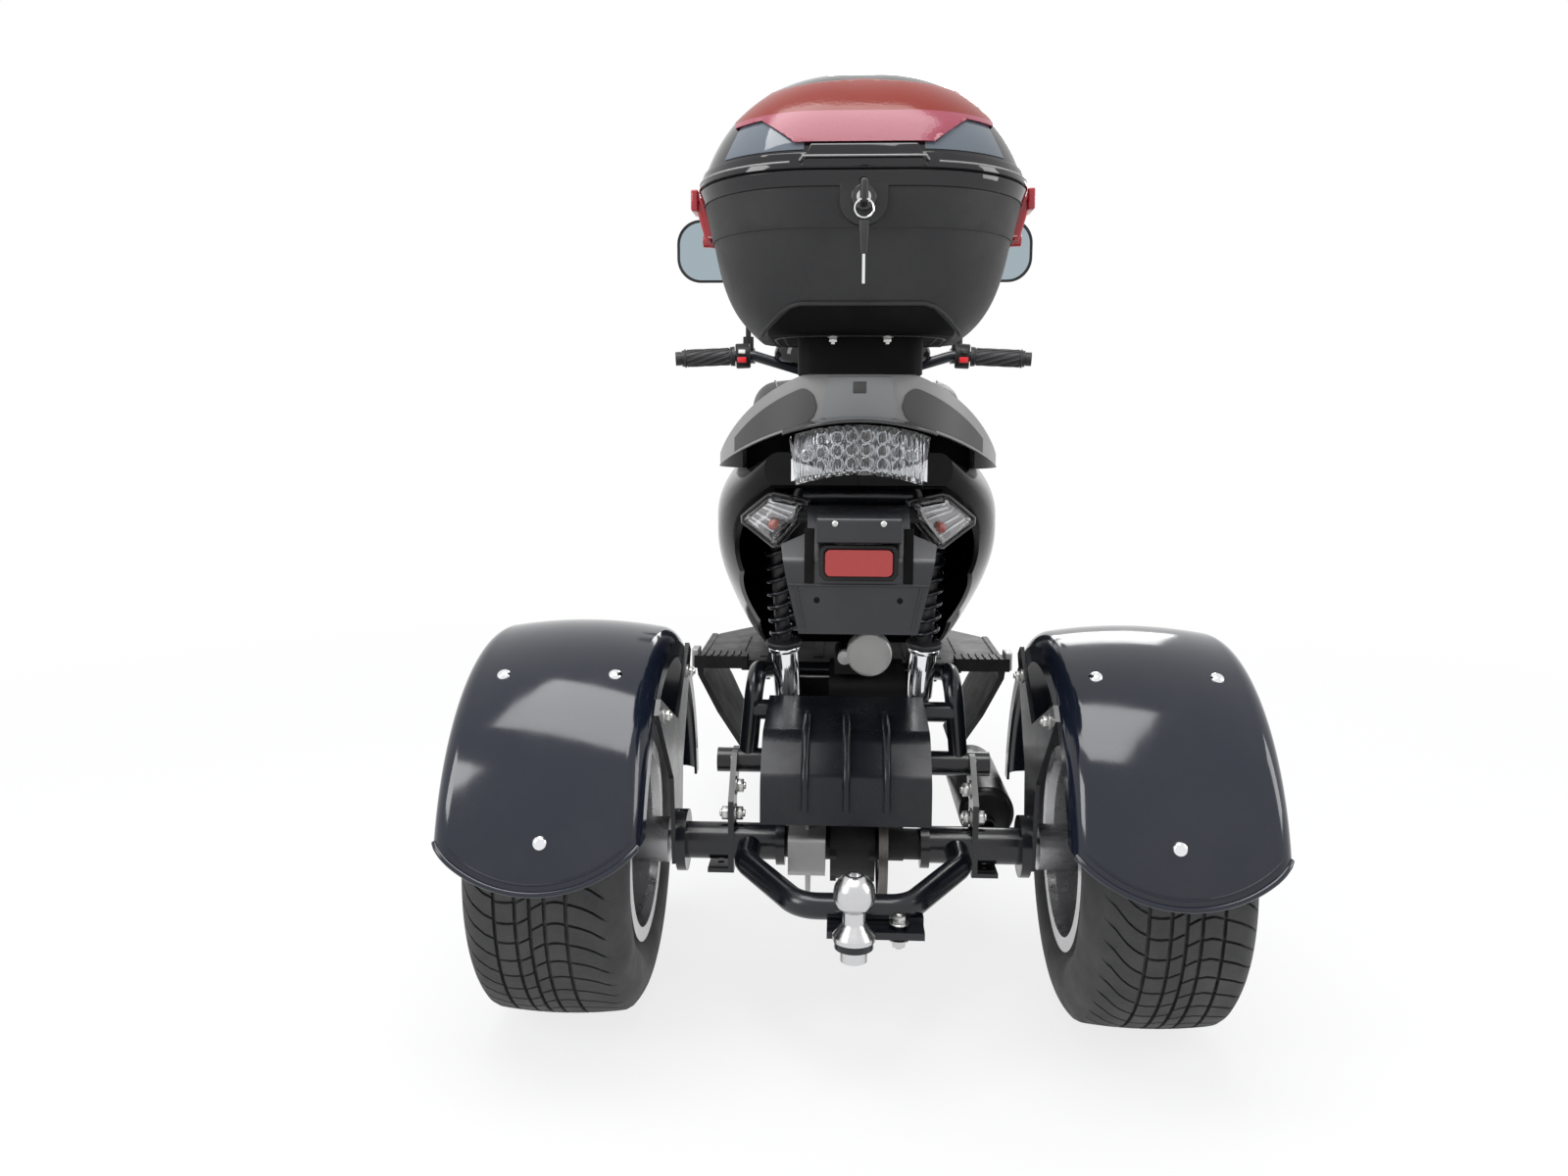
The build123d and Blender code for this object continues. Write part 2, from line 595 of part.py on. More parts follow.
with BuildPart() as floor_skirts:
    for s in (-1, 1):
        with BuildSketch(Plane.XZ.offset(-575)):
            with BuildLine():
                FilletPolyline(
                    (s * (FLOOR_HALF + FIT), 372), (s * 287, 372), (s * 283, 340), (s * 205, 188),
                    (s * 190, 188), (s * 196, 196), (s * 272, 340), radius=4, close=True,
                )
            make_face()
        extrude(amount=-270)
    for s in (-1, 1):
        side_plate([(560, 150), (560, 300), (620, 180), (800, 180), (860, 320), (860, 150)],
                   s * 150, s * 300, mode=Mode.SUBTRACT)
save(floor_skirts.part, "floor_skirts")

with BuildPart() as footrests:
    for s in (-1, 1):
        box(sorted((s * (BRACKET_X + FIT), s * 190)), (440, 470), (378, 396))
        box(sorted((s * 180, s * 272)), (434, 478), (382, 404))
        box(sorted((s * 266, s * 276)), (438, 474), (384, 414))
save(footrests.part, "footrests")

# Leg shield facing the rider, apron in front of it with lamps
APRON_BACK_Y = 958.0
APRON_WALL = 4.0
NOSE = [(600, 214, 1166), (690, 218, 1188), (780, 196, 1166), (868, 132, 1072)]
LOWER = [(376, 158, 1026), (480, 196, 1042), (604, 214, 1060)]


def bowed(sections, grow=0.0, back=0.0, top=0.0, bottom=0.0):
    """A loft up Z through segments with a straight back: height, half width, front Y."""
    with BuildPart() as made:
        for index, (height, half, front) in enumerate(sections):
            shift = -bottom if index == 0 else top if index == len(sections) - 1 else 0
            with BuildSketch(Plane.XY.offset(height + shift)):
                with BuildLine():
                    rear = APRON_BACK_Y - back
                    Line((half + grow, rear), (-half - grow, rear))
                    ThreePointArc((-half - grow, rear), (0, front + grow), (half + grow, rear))
                make_face()
        loft()
    return made.part


nose_skin = bowed(NOSE)
nose_hollow = bowed(NOSE, grow=-APRON_WALL, back=6, bottom=-APRON_WALL, top=-APRON_WALL)
lower_skin = bowed(LOWER)
lower_hollow = bowed(LOWER, grow=-APRON_WALL, back=6, bottom=6, top=6)
with BuildPart() as front_apron:
    add(lower_skin)
    add(nose_skin)
    add(lower_hollow, mode=Mode.SUBTRACT)
    add(nose_hollow, mode=Mode.SUBTRACT)
    with Locations((0, 1082, 600)):
        Cylinder(70, 40, mode=Mode.SUBTRACT)
    with Locations((0, 958, 868)):
        Cylinder(58, 40, mode=Mode.SUBTRACT)
    box((-32, 32), (950, 1090), (590, 614), mode=Mode.SUBTRACT)
save(front_apron.part, "front_apron")

lamp_skin = bowed(NOSE, grow=5.0)
lamp_seat = bowed(NOSE, grow=FIT)
with BuildPart() as headlamp:
    add(lamp_skin)
    add(lamp_seat, mode=Mode.SUBTRACT)
    rear_plate([(-112, 752), (112, 752), (78, 668), (0, 650), (-78, 668)], 1000, 1240, mode=Mode.INTERSECT)
save(headlamp.part, "headlamp")

with BuildPart() as front_signals:
    add(lamp_skin)
    add(lamp_seat, mode=Mode.SUBTRACT)
    with BuildSketch(Plane.XZ.offset(-1000)):
        for s in (-1, 1):
            with BuildLine():
                Polyline((s * 128, 748), (s * 176, 760), (s * 168, 700), (s * 96, 668), close=True)
            make_face()
    extrude(amount=-240, mode=Mode.INTERSECT)
save(front_signals.part, "front_signals")

with BuildPart() as leg_shield:
    with BuildSketch(Plane.YZ.offset(-240)):
        with BuildLine():
            FilletPolyline((948, 366), (930, 420), (905, 850), (905, 866), radius=[60, 8])
            offset(amount=5, side=Side.RIGHT)
        make_face()
    extrude(amount=480)
    rear_plate([(-165, FLOOR_TOP + FIT), (165, FLOOR_TOP + FIT), (215, 480), (236, 640), (214, 780), (142, 850), (110, 867),
                (-110, 867), (-142, 850), (-214, 780), (-236, 640), (-215, 480)], 880, 970, mode=Mode.INTERSECT)
    rear_plate([(-205, 480), (205, 480), (225, 640), (204, 772), (-204, 772), (-225, 640)], 925,
               APRON_BACK_Y - FIT)
    rear_plate([(-196, 486), (196, 486), (216, 640), (196, 766), (-196, 766), (-216, 640)], 930, 970,
               mode=Mode.SUBTRACT)
save(leg_shield.part, "leg_shield")

# Rear body: two side panels, bin, tail pieces
BODY = [
    (TAIL_Y, 112, 724, 765, 18), (0, 183, 582, 766, 86), (200, 189, 480, 790, 114),
    (430, 170, 400, 750, 92), (PANEL_FRONT_Y, 126, 384, 716, 50),
]
BODY_LOW = [(-400, 726), (-150, 726), (0, 604), (200, 506), (430, 428), (PANEL_FRONT_Y, 410),
            (700, 400), (700, 200), (-400, 200)]
body_skin = lofted_along(BODY)
body_hollow = lofted_along(BODY, grow=-PANEL_WALL, ends=-PANEL_WALL)
body_seat = lofted_along(BODY, grow=FIT)
SEAT_PIN_D = 8.0
for side, name in ((-1, "left"), (1, "right")):
    with BuildPart() as side_panel:
        add(body_skin)
        add(body_hollow, mode=Mode.SUBTRACT)
        side_plate(SEAT_LINE + [(700, 900), (-400, 900)], -300, 300, mode=Mode.SUBTRACT)
        side_plate(BODY_LOW, -300, 300, mode=Mode.SUBTRACT)
        box(sorted((side * FIT, side * 300)), (-300, 700), (300, 900), mode=Mode.INTERSECT)
        box(sorted((side * (RAIL_X + RAIL_D / 2 + FIT), side * 185.5)), (242, 262), (664, 680))
        box((-100, 100), (-145, -30), (600, 728), mode=Mode.SUBTRACT)
        side_plate([(548, 662), (548, 688), (558, 693.5), (571, 693), (572, 684), (564, 676)],
                   side * 14, side * 22)
        rod((side * 14, *SEAT_HINGE[1:]), (side * 46, *SEAT_HINGE[1:]), SEAT_PIN_D)
    save(side_panel.part, f"side_panel_{name}")

with BuildPart() as storage_bin:
    box((-120, 120), (150, 470), (494, 690))
    fillet(storage_bin.edges().filter_by(Axis.Z), 45)
    fillet(storage_bin.faces().sort_by(Axis.Z)[0].edges(), 25)
    offset(amount=-3, openings=storage_bin.faces().sort_by(Axis.Z)[-1])
    with BuildSketch(Plane.XY.offset(686)):
        with Locations((0, 310)):
            RectangleRounded(252, 336, 50)
            RectangleRounded(236, 316, 42, mode=Mode.SUBTRACT)
    extrude(amount=4)
    for s in (-1, 1):
        box(sorted((s * 118, s * (RAIL_X - RAIL_D / 2 - FIT))), (240, 270), (664, 680))
save(storage_bin.part, "storage_bin")

# Tail: grab rail, lamp, signals, plate bracket
with BuildPart() as grab_rail:
    with BuildSketch(Plane.XZ.offset(-40)):
        with BuildLine():
            ThreePointArc((-176, 762), (0, 866), (176, 762))
            Line((176, 762), (176, 745))
            Line((176, 745), (140, 745))
            Line((140, 745), (140, 768))
            ThreePointArc((140, 768), (0, 802), (-140, 768))
            Line((-140, 768), (-140, 745))
            Line((-140, 745), (-176, 745))
            Line((-176, 745), (-176, 762))
        make_face()
    extrude(amount=230)
    with BuildSketch(Plane.XY.offset(700)):
        with BuildLine():
            Line((-190, 60), (190, 60))
            Line((190, 60), (180, -20))
            ThreePointArc((180, -20), (0, -178), (-180, -20))
            Line((-180, -20), (-190, 60))
        make_face()
    extrude(amount=300, mode=Mode.INTERSECT)
    box((-300, 300), (-300, 300), (855, 950), mode=Mode.SUBTRACT)
    add(body_seat, mode=Mode.SUBTRACT)
    with BuildSketch(Plane.XY.offset(700)):
        for s in (-1, 1):
            with Locations((s * 110, -20)):
                SlotOverall(110, 34, rotation=s * 60)
    extrude(amount=300, mode=Mode.SUBTRACT)
save(grab_rail.part, "grab_rail")

with BuildPart() as tail_lamp:
    with BuildSketch(Plane.XZ.offset(-TAIL_Y + FIT)):
        with BuildLine():
            ThreePointArc((-80, 784), (0, 797), (80, 784))
            Line((80, 784), (72, 729))
            ThreePointArc((72, 729), (0, 742), (-72, 729))
            Line((-72, 729), (-80, 784))
        make_face()
    extrude(amount=100)
    with BuildSketch(Plane.XY.offset(700)):
        with BuildLine():
            Line((-110, -100), (110, -100))
            ThreePointArc((110, -100), (0, -244), (-110, -100))
        make_face()
    extrude(amount=150, mode=Mode.INTERSECT)
save(tail_lamp.part, "tail_lamp")

NECK_HALF = 58.0
with BuildPart() as plate_bracket:
    with BuildSketch(Plane.YZ.offset(-100)):
        with BuildLine():
            FilletPolyline((-70, 701.7), (-205, 701.7), (-264, 645), (-264, 566), radius=[20, 20])
            offset(amount=4, side=Side.LEFT)
        make_face()
    extrude(amount=200)
    rear_plate([(-66, 566), (66, 566), (79, 622), (87, 664), (NECK_HALF, 676), (NECK_HALF, 720),
                (-NECK_HALF, 720), (-NECK_HALF, 676), (-87, 664), (-79, 622)], -320, -40, mode=Mode.INTERSECT)
    box((-46, 46), (-276, -222), (668, 697))
    fillet(plate_bracket.edges().filter_by(Axis.X).group_by(Axis.Y)[0], 6)
    for x in (-46, 46):
        rod((x, -290, 604), (x, -240, 604), 7, mode=Mode.SUBTRACT)
save(plate_bracket.part, "plate_bracket")

with BuildPart() as rear_reflector:
    box((-37, 37), (-273, -264 - FIT), (632, 661))
    fillet(rear_reflector.edges().filter_by(Axis.Y), 6)
save(rear_reflector.part, "rear_reflector")

with BuildPart() as rear_signals:
    for s in (-1, 1):
        with BuildSketch(Plane.XZ.offset(145)):
            with BuildLine():
                FilletPolyline((s * 61, 707), (s * 104, 716), (s * 141, 685), (s * 98, 651), (s * 66, 689),
                               radius=5, close=True)
            make_face()
        extrude(amount=42, taper=8)
        rod((s * (NECK_HALF + FIT), -160, 692), (s * 80, -160, 692), 16)
save(rear_signals.part, "rear_signals")

# Top case: rack, base with lock, lid with lens
CASE_BASE = [(CASE_FLOOR_Z, 236, 226, 70), (925, 288, 276, 90), (1000, 336, 342, 118), (CASE_SEAM_Z, 364, 370, 132)]
CASE_LID = [(CASE_SEAM_Z + 0.6, 366, 372, 132), (1100, 334, 340, 122), (1142, 278, 272, 102), (1187, 124, 110, 46)]
with BuildPart() as case_rack:
    box((-72, 72), (-190, 20), (855 + FIT, CASE_FLOOR_Z - FIT))
    fillet(case_rack.edges().filter_by(Axis.Z), 20)
    box((-30, 30), (-140, 40), (850, 885), mode=Mode.SUBTRACT)
save(case_rack.part, "case_rack")

base_skin = lofted_up(CASE_BASE, y_mid=CASE_Y)
base_hollow = lofted_up(CASE_BASE, grow=-CASE_WALL, y_mid=CASE_Y)
with BuildPart() as case_base:
    add(base_skin)
    add(Pos(0, 0, CASE_WALL + 0.5) * base_hollow, mode=Mode.SUBTRACT)
    for s in (-1, 1):
        side_plate([(50, 1034), (56, 1052), (75, 1058), (84, 1052), (80, 1044)], s * 88, s * 98)
        rod((s * 42, *LID_HINGE[1:]), (s * 98, *LID_HINGE[1:]), 8)
save(case_base.part, "case_base")

lid_skin = lofted_up(CASE_LID, y_mid=CASE_Y)
lid_hollow = lofted_up(CASE_LID, grow=-CASE_WALL, y_mid=CASE_Y)
with BuildPart() as case_lid:
    add(lid_skin)
    add(Pos(0, 0, -CASE_WALL) * lid_hollow, mode=Mode.SUBTRACT)
    for s in (-1, 1):
        rod((s * 50, *LID_HINGE[1:]), (s * 82, *LID_HINGE[1:]), 15)
        side_plate([(61, 1058), (61, 1064), (80, 1060), (86, 1054), (80, 1052), (71, 1057.5)], s * 50, s * 82)
    for s in (-1, 1):
        rod((s * 48, *LID_HINGE[1:]), (s * 84, *LID_HINGE[1:]), 8 + 2 * FIT, mode=Mode.SUBTRACT)
save(case_lid.part, "case_lid")

lens_skin = lofted_up(CASE_LID, grow=4.0, y_mid=CASE_Y)
lens_seat = lofted_up(CASE_LID, grow=FIT, y_mid=CASE_Y)
with BuildPart() as case_lens:
    add(lens_skin)
    add(lens_seat, mode=Mode.SUBTRACT)
    rear_plate([(-138, 1114), (-140, 1124), (-100, 1158), (0, 1168), (100, 1158), (140, 1124), (138, 1114),
                (108, 1115), (72, 1085), (-72, 1085), (-108, 1115)], -400, CASE_Y - 20, mode=Mode.INTERSECT)
save(case_lens.part, "case_lens")

latch_skin = lofted_up(CASE_BASE, grow=6.0, y_mid=CASE_Y)
latch_seat = lofted_up(CASE_BASE, grow=FIT, y_mid=CASE_Y)
with BuildPart() as case_latches:
    add(latch_skin)
    add(latch_seat, mode=Mode.SUBTRACT)
    side_plate([(-176, 1010), (-124, 1004), (-118, 1040), (-124, 1054), (-168, 1054)], -300, 300,
               mode=Mode.INTERSECT)
save(case_latches.part, "case_latches")

with BuildPart() as case_lock:
    rod((0, -306, 1028), (0, -280, 1028), 26)
    add(latch_seat, mode=Mode.SUBTRACT)
    box((-2, 2), (-334, -305), (1021, 1035))
    with BuildSketch(Plane.XZ.offset(-KEY_END_Y - 4)):
        with Locations((0, 1010)):
            Circle(15)
            Circle(12.5, mode=Mode.SUBTRACT)
    extrude(amount=4)
    box((-2, 2), (-340, -330), (1018, 1028))
    box((-5.5, 5.5), (KEY_END_Y, KEY_END_Y + 4), (970, 996))
    box((-1.6, 1.6), (KEY_END_Y, KEY_END_Y + 4), (937, 971))
save(case_lock.part, "case_lock")

# Seat: lofted cushion on the seat line, with hinge sleeves at its nose
SEAT = [
    (52, 138, 768, 846, 30), (150, 152, 768, 858, 36), (235, 158, 740, 846, 38), (330, 158, 704, 784, 34),
    (450, 150, 698, 776, 34), (540, 104, 696, 764, 30), (571, 62, 696, 742, 20),
]
seat_form = lofted_along(SEAT)
with BuildPart() as seat:
    add(seat_form)
    side_plate([(y, z + 0.6) for y, z in SEAT_LINE] + [(700, 500), (-400, 500)], -300, 300, mode=Mode.SUBTRACT)
    for s in (-1, 1):
        box(sorted((s * 9, s * 24.5)), (540, 590), (680, 714), mode=Mode.SUBTRACT)
        rod((s * 25, *SEAT_HINGE[1:]), (s * 44, *SEAT_HINGE[1:]), 16)
    for s in (-1, 1):
        rod((s * 24, *SEAT_HINGE[1:]), (s * 48, *SEAT_HINGE[1:]), SEAT_PIN_D + 2 * FIT, mode=Mode.SUBTRACT)
save(seat.part, "seat")

# Front wheel
with BuildPart() as front_tyre:
    with BuildSketch(wheel_plane(0, WHEELBASE, FRONT_Z)):
        with BuildLine():
            half = FRONT_TYRE_W / 2
            Polyline((42, 164), (42, FRONT_RIM_R + FIT), (-42, FRONT_RIM_R + FIT), (-42, 164))
            ThreePointArc((-42, 164), (-half, 190), (-half + 6, 208))
            ThreePointArc((-half + 6, 208), (0, FRONT_TYRE_R), (half - 6, 208))
            ThreePointArc((half - 6, 208), (half, 190), (42, 164))
        make_face()
    revolve(axis=FRONT_AXIS)
save(front_tyre.part, "front_tyre")

with BuildPart() as front_rim:
    with BuildSketch(wheel_plane(0, WHEELBASE, FRONT_Z)):
        with BuildLine():
            Polyline((-48, 142), (-48, 162), (-42.4, 162), (-42.4, FRONT_RIM_R), (42.4, FRONT_RIM_R), (42.4, 162),
                     (48, 162), (48, 142), (20, 134), (-20, 134), close=True)
        make_face()
    revolve(axis=FRONT_AXIS)
    rod((-12, WHEELBASE, FRONT_Z), (12, WHEELBASE, FRONT_Z), 276)
    with BuildSketch(Plane.YZ.offset(-30)):
        with Locations((WHEELBASE, FRONT_Z)):
            with PolarLocations(90, SPOKES):
                SlotOverall(74, 60)
    extrude(amount=60, mode=Mode.SUBTRACT)
    rod((-62, WHEELBASE, FRONT_Z), (70, WHEELBASE, FRONT_Z), 52)
    rod((-80, WHEELBASE, FRONT_Z), (80, WHEELBASE, FRONT_Z), 15 + 2 * FIT, mode=Mode.SUBTRACT)
save(front_rim.part, "front_rim")

with BuildPart() as front_disc:
    rod((-66.5, WHEELBASE, FRONT_Z), (-62 - FIT, WHEELBASE, FRONT_Z), 190)
    rod((-70, WHEELBASE, FRONT_Z), (-60, WHEELBASE, FRONT_Z), 22, mode=Mode.SUBTRACT)
    with BuildSketch(Plane.YZ.offset(-70)):
        with Locations((WHEELBASE, FRONT_Z)):
            with PolarLocations(46, 6):
                Circle(14)
            with PolarLocations(78, 18):
                Circle(4)
    extrude(amount=10, mode=Mode.SUBTRACT)
save(front_disc.part, "front_disc")

# Steering: fork, fender, handlebar, grips, controls, cover, mirrors
LEG_X = 94.0
LEG_D = 34.0
AXLE_LOCAL_Z = -FORK_OFFSET * RAKE_SIN / RAKE_COS
CROWN = (290.0, 325.0)
STEM_TOP = 735.0
with BuildPart() as fork:
    with BuildSketch(STEER.offset(AXLE_LOCAL_Z - 24)):
        with Locations((-LEG_X, FORK_OFFSET), (LEG_X, FORK_OFFSET)):
            Circle(LEG_D / 2)
    extrude(amount=CROWN[1] - AXLE_LOCAL_Z + 24)
    with BuildSketch(STEER.offset(CROWN[0])):
        with Locations((0, FORK_OFFSET / 2)):
            RectangleRounded(2 * LEG_X + 42, FORK_OFFSET + 40, 24)
    extrude(amount=CROWN[1] - CROWN[0])
    with BuildSketch(STEER.offset(CROWN[0])):
        Circle(STEM_D / 2)
    extrude(amount=STEM_TOP - CROWN[0])
    with BuildSketch(STEER.offset(CROWN[1])):
        Circle(22)
    extrude(amount=HEAD_FROM - FIT - CROWN[1])
    rod((-LEG_X - 24, WHEELBASE, FRONT_Z), (LEG_X + 24, WHEELBASE, FRONT_Z), 15)
    with BuildSketch(STEER.offset(212)):
        for s in (-1, 1):
            with Locations((s * 76, FORK_OFFSET)):
                Rectangle(11, 20)
    extrude(amount=24)
    with BuildSketch(STEER.offset(AXLE_LOCAL_Z + 30)):
        with Locations((-72, FORK_OFFSET - 62)):
            Rectangle(34, 44)
    extrude(amount=66)
    with BuildSketch(STEER.offset(AXLE_LOCAL_Z + 40)):
        with Locations((-86, FORK_OFFSET - 30)):
            Rectangle(8, 50)
    extrude(amount=46)
    rod((-69.5, WHEELBASE, FRONT_Z), (-58, WHEELBASE, FRONT_Z), 210, mode=Mode.SUBTRACT)
    rod((-LEG_X - 24, WHEELBASE, FRONT_Z), (LEG_X + 24, WHEELBASE, FRONT_Z), 15)
save(fork.part, "fork")

with BuildPart() as front_fender:
    lift = math.radians(FRONT_FENDER_LIFT)
    with BuildSketch(Plane(origin=(0, WHEELBASE, FRONT_Z), x_dir=(1, 0, 0),
                           z_dir=(0, -math.sin(lift), math.cos(lift)))):
        with BuildLine():
            Line((-70, 222), (-70, 244))
            ThreePointArc((-70, 244), (0, FRONT_FENDER_R), (70, 244))
            Polyline((70, 244), (70, 222), (67, 222), (67, 242))
            ThreePointArc((67, 242), (0, FRONT_FENDER_R - 3), (-67, 242))
            Polyline((-67, 242), (-67, 222), (-70, 222))
        make_face()
    revolve(axis=FRONT_AXIS, revolution_arc=158)
save(front_fender.part, "front_fender")

BAR_D = 22.2
BAR_END = 352.0
MIRROR_X = 288.0
MIRROR_Z = 1150.0
BAR = [(-BAR_END, 889, 938.5), (-205, 904, 946), (-95, 918, 914), (95, 918, 914), (205, 904, 946), (BAR_END, 889, 938.5)]
bar_tube = tube(BAR, 40, BAR_D)
with BuildPart() as handlebar:
    add(bar_tube)
    with BuildSketch(STEER.offset(STEM_TOP + FIT)):
        Circle(20)
    extrude(amount=24)
save(handlebar.part, "handlebar")


def along_bar(s, x):
    """A point on the outer run of the handlebar at one X."""
    a = Vector(*BAR[5])
    b = Vector(*BAR[4])
    p = a + (b - a) * ((a.X - x) / (a.X - b.X))
    return (s * p.X, p.Y, p.Z)


with BuildPart() as grips:
    for s in (-1, 1):
        rod(along_bar(s, 242), along_bar(s, BAR_END - 1), 33)
        rod(along_bar(s, 242), along_bar(s, 248), 40)
        rod(along_bar(s, BAR_END + 0.5), along_bar(s, BAR_END + 12), 28)
    for s in (-1, 1):
        rod(along_bar(s, 230), along_bar(s, BAR_END - 0.1), BAR_D + 2 * FIT, mode=Mode.SUBTRACT)
        rod(along_bar(s, BAR_END - 6), along_bar(s, BAR_END + 2), 26)
        rod(along_bar(s, BAR_END - 12), along_bar(s, BAR_END + 0.6), BAR_D + 2 * FIT, mode=Mode.SUBTRACT)
save(grips.part, "grips")

levers = [
    tube([(s * 214, 948, 944), (s * 250, 972, 944), (s * 344, 962, 936)], 30, 11) for s in (-1, 1)
]
with BuildPart() as hand_controls:
    for s in (-1, 1):
        rod(along_bar(s, 212), along_bar(s, 240), 46)
        box(sorted((s * 204, s * 228)), (905, 952), (932, 962))
        rod((s * 216, 920, 960), (s * 216, 920, 985), 22)
    add(levers)
    for s in (-1, 1):
        rod(along_bar(s, BAR_END), along_bar(s, 200), BAR_D + 2 * FIT, mode=Mode.SUBTRACT)
    add(Pos(0, 0, 0) * bar_tube, mode=Mode.SUBTRACT)
save(hand_controls.part, "hand_controls")

COVER = [(928, 150, 120, 34), (958, 320, 124, 50), (990, 270, 110, 46), (1012, 150, 64, 30)]
cover_form = lofted_up(COVER, y_mid=926)
cover_hollow = lofted_up(COVER, grow=-4, y_mid=926)
bar_space = tube(BAR, 40, BAR_D + 6)
with BuildPart() as bar_cover:
    add(cover_form)
    add(Pos(0, 0, -4) * cover_hollow, mode=Mode.SUBTRACT)
    add(bar_space, mode=Mode.SUBTRACT)
    box((-26, 26), (905, 935), (925, 1009))
    add(bar_tube, mode=Mode.SUBTRACT)
    rod((0, 918, 900), (0, 918, 926), 60, mode=Mode.SUBTRACT)
save(bar_cover.part, "bar_cover")

stalks = [tube([(s * 216, 920, 985 + FIT), (s * 216, 920, 1030), (s * 262, 888, 1114)], 24, 11) for s in (-1, 1)]
with BuildPart() as mirrors:
    add(stalks)
    for s in (-1, 1):
        with BuildSketch(Plane.XZ.offset(-866)):
            with Locations((s * MIRROR_X, MIRROR_Z)):
                RectangleRounded(136, 124, 48)
        extrude(amount=-34, taper=14)
        with BuildSketch(Plane.XZ.offset(-866)):
            with Locations((s * MIRROR_X, MIRROR_Z)):
                RectangleRounded(126, 114, 44)
        extrude(amount=-4, mode=Mode.SUBTRACT)
save(mirrors.part, "mirrors")

with BuildPart() as mirror_glass:
    for s in (-1, 1):
        with BuildSketch(Plane.XZ.offset(-867)):
            with Locations((s * MIRROR_X, MIRROR_Z)):
                RectangleRounded(125, 113, 43.5)
        extrude(amount=-(3 - FIT))
save(mirror_glass.part, "mirror_glass")
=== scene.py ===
"""Motorized trike: finishes, soft seat, tread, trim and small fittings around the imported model."""
import math

import bmesh
import bpy
from mathutils import Matrix, Vector


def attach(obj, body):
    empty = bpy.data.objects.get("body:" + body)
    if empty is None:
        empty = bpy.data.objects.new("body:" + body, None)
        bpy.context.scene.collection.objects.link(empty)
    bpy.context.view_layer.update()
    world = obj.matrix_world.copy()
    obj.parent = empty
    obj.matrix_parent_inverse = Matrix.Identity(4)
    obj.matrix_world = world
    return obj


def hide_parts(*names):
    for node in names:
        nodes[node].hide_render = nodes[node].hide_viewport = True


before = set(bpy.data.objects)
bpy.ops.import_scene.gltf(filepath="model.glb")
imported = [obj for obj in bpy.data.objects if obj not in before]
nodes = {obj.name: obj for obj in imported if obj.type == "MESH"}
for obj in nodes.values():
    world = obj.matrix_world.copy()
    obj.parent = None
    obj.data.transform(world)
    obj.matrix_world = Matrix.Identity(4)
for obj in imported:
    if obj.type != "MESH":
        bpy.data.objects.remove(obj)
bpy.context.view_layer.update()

AXLE_Y = -0.600588
TRACK = 379.5
WHEELBASE = 1300.0
REAR_HUB_Z = 229.5
FRONT_HUB_Z = 236.5
SIDES = ((-1, "left"), (1, "right"))


def place(x, y, z):
    """A point in metres, from millimetres to the right, ahead of the rear axle and up."""
    return Vector((x / 1000, y / 1000 + AXLE_Y, z / 1000))


# Shader groups that several finishes share
MIX_FIRST, MIX_SECOND, MIX_RESULT = 6, 7, 2


def shader_group(name, inputs, outputs):
    """An empty shader group with its sockets, its input node and its output node."""
    group = bpy.data.node_groups.new(name, "ShaderNodeTree")
    for label, kind, value in inputs:
        socket = group.interface.new_socket(label, in_out="INPUT", socket_type=kind)
        if value is not None:
            socket.default_value = value
    for label, kind in outputs:
        group.interface.new_socket(label, in_out="OUTPUT", socket_type=kind)
    return group, group.nodes.new("NodeGroupInput"), group.nodes.new("NodeGroupOutput")


def noise(tree, vector, scale, detail, rough):
    """A cloudy value from a noise texture, its scale read from a socket."""
    node = tree.nodes.new("ShaderNodeTexNoise")
    node.inputs["Detail"].default_value = detail
    node.inputs["Roughness"].default_value = rough
    tree.links.new(vector, node.inputs["Vector"])
    tree.links.new(scale, node.inputs["Scale"])
    return node.outputs["Fac"]


def remap(tree, value, low, high, to_low=0.0, to_high=1.0):
    """A value stretched from one range to another."""
    node = tree.nodes.new("ShaderNodeMapRange")
    for label, number in (("From Min", low), ("From Max", high), ("To Min", to_low), ("To Max", to_high)):
        if isinstance(number, (int, float)):
            node.inputs[label].default_value = number
        else:
            tree.links.new(number, node.inputs[label])
    tree.links.new(value, node.inputs["Value"])
    return node.outputs["Result"]


def maths(tree, operation, first, second):
    """The result of a sum, product or other operation on two values."""
    node = tree.nodes.new("ShaderNodeMath")
    node.operation = operation
    for socket, number in zip(node.inputs, (first, second)):
        if isinstance(number, (int, float)):
            socket.default_value = number
        else:
            tree.links.new(number, socket)
    return node.outputs["Value"]


def mixed(tree, factor, first, second):
    """Two colours mixed by a factor."""
    node = tree.nodes.new("ShaderNodeMix")
    node.data_type = "RGBA"
    tree.links.new(factor, node.inputs["Factor"])
    tree.links.new(first, node.inputs[MIX_FIRST])
    tree.links.new(second, node.inputs[MIX_SECOND])
    return node.outputs[MIX_RESULT]


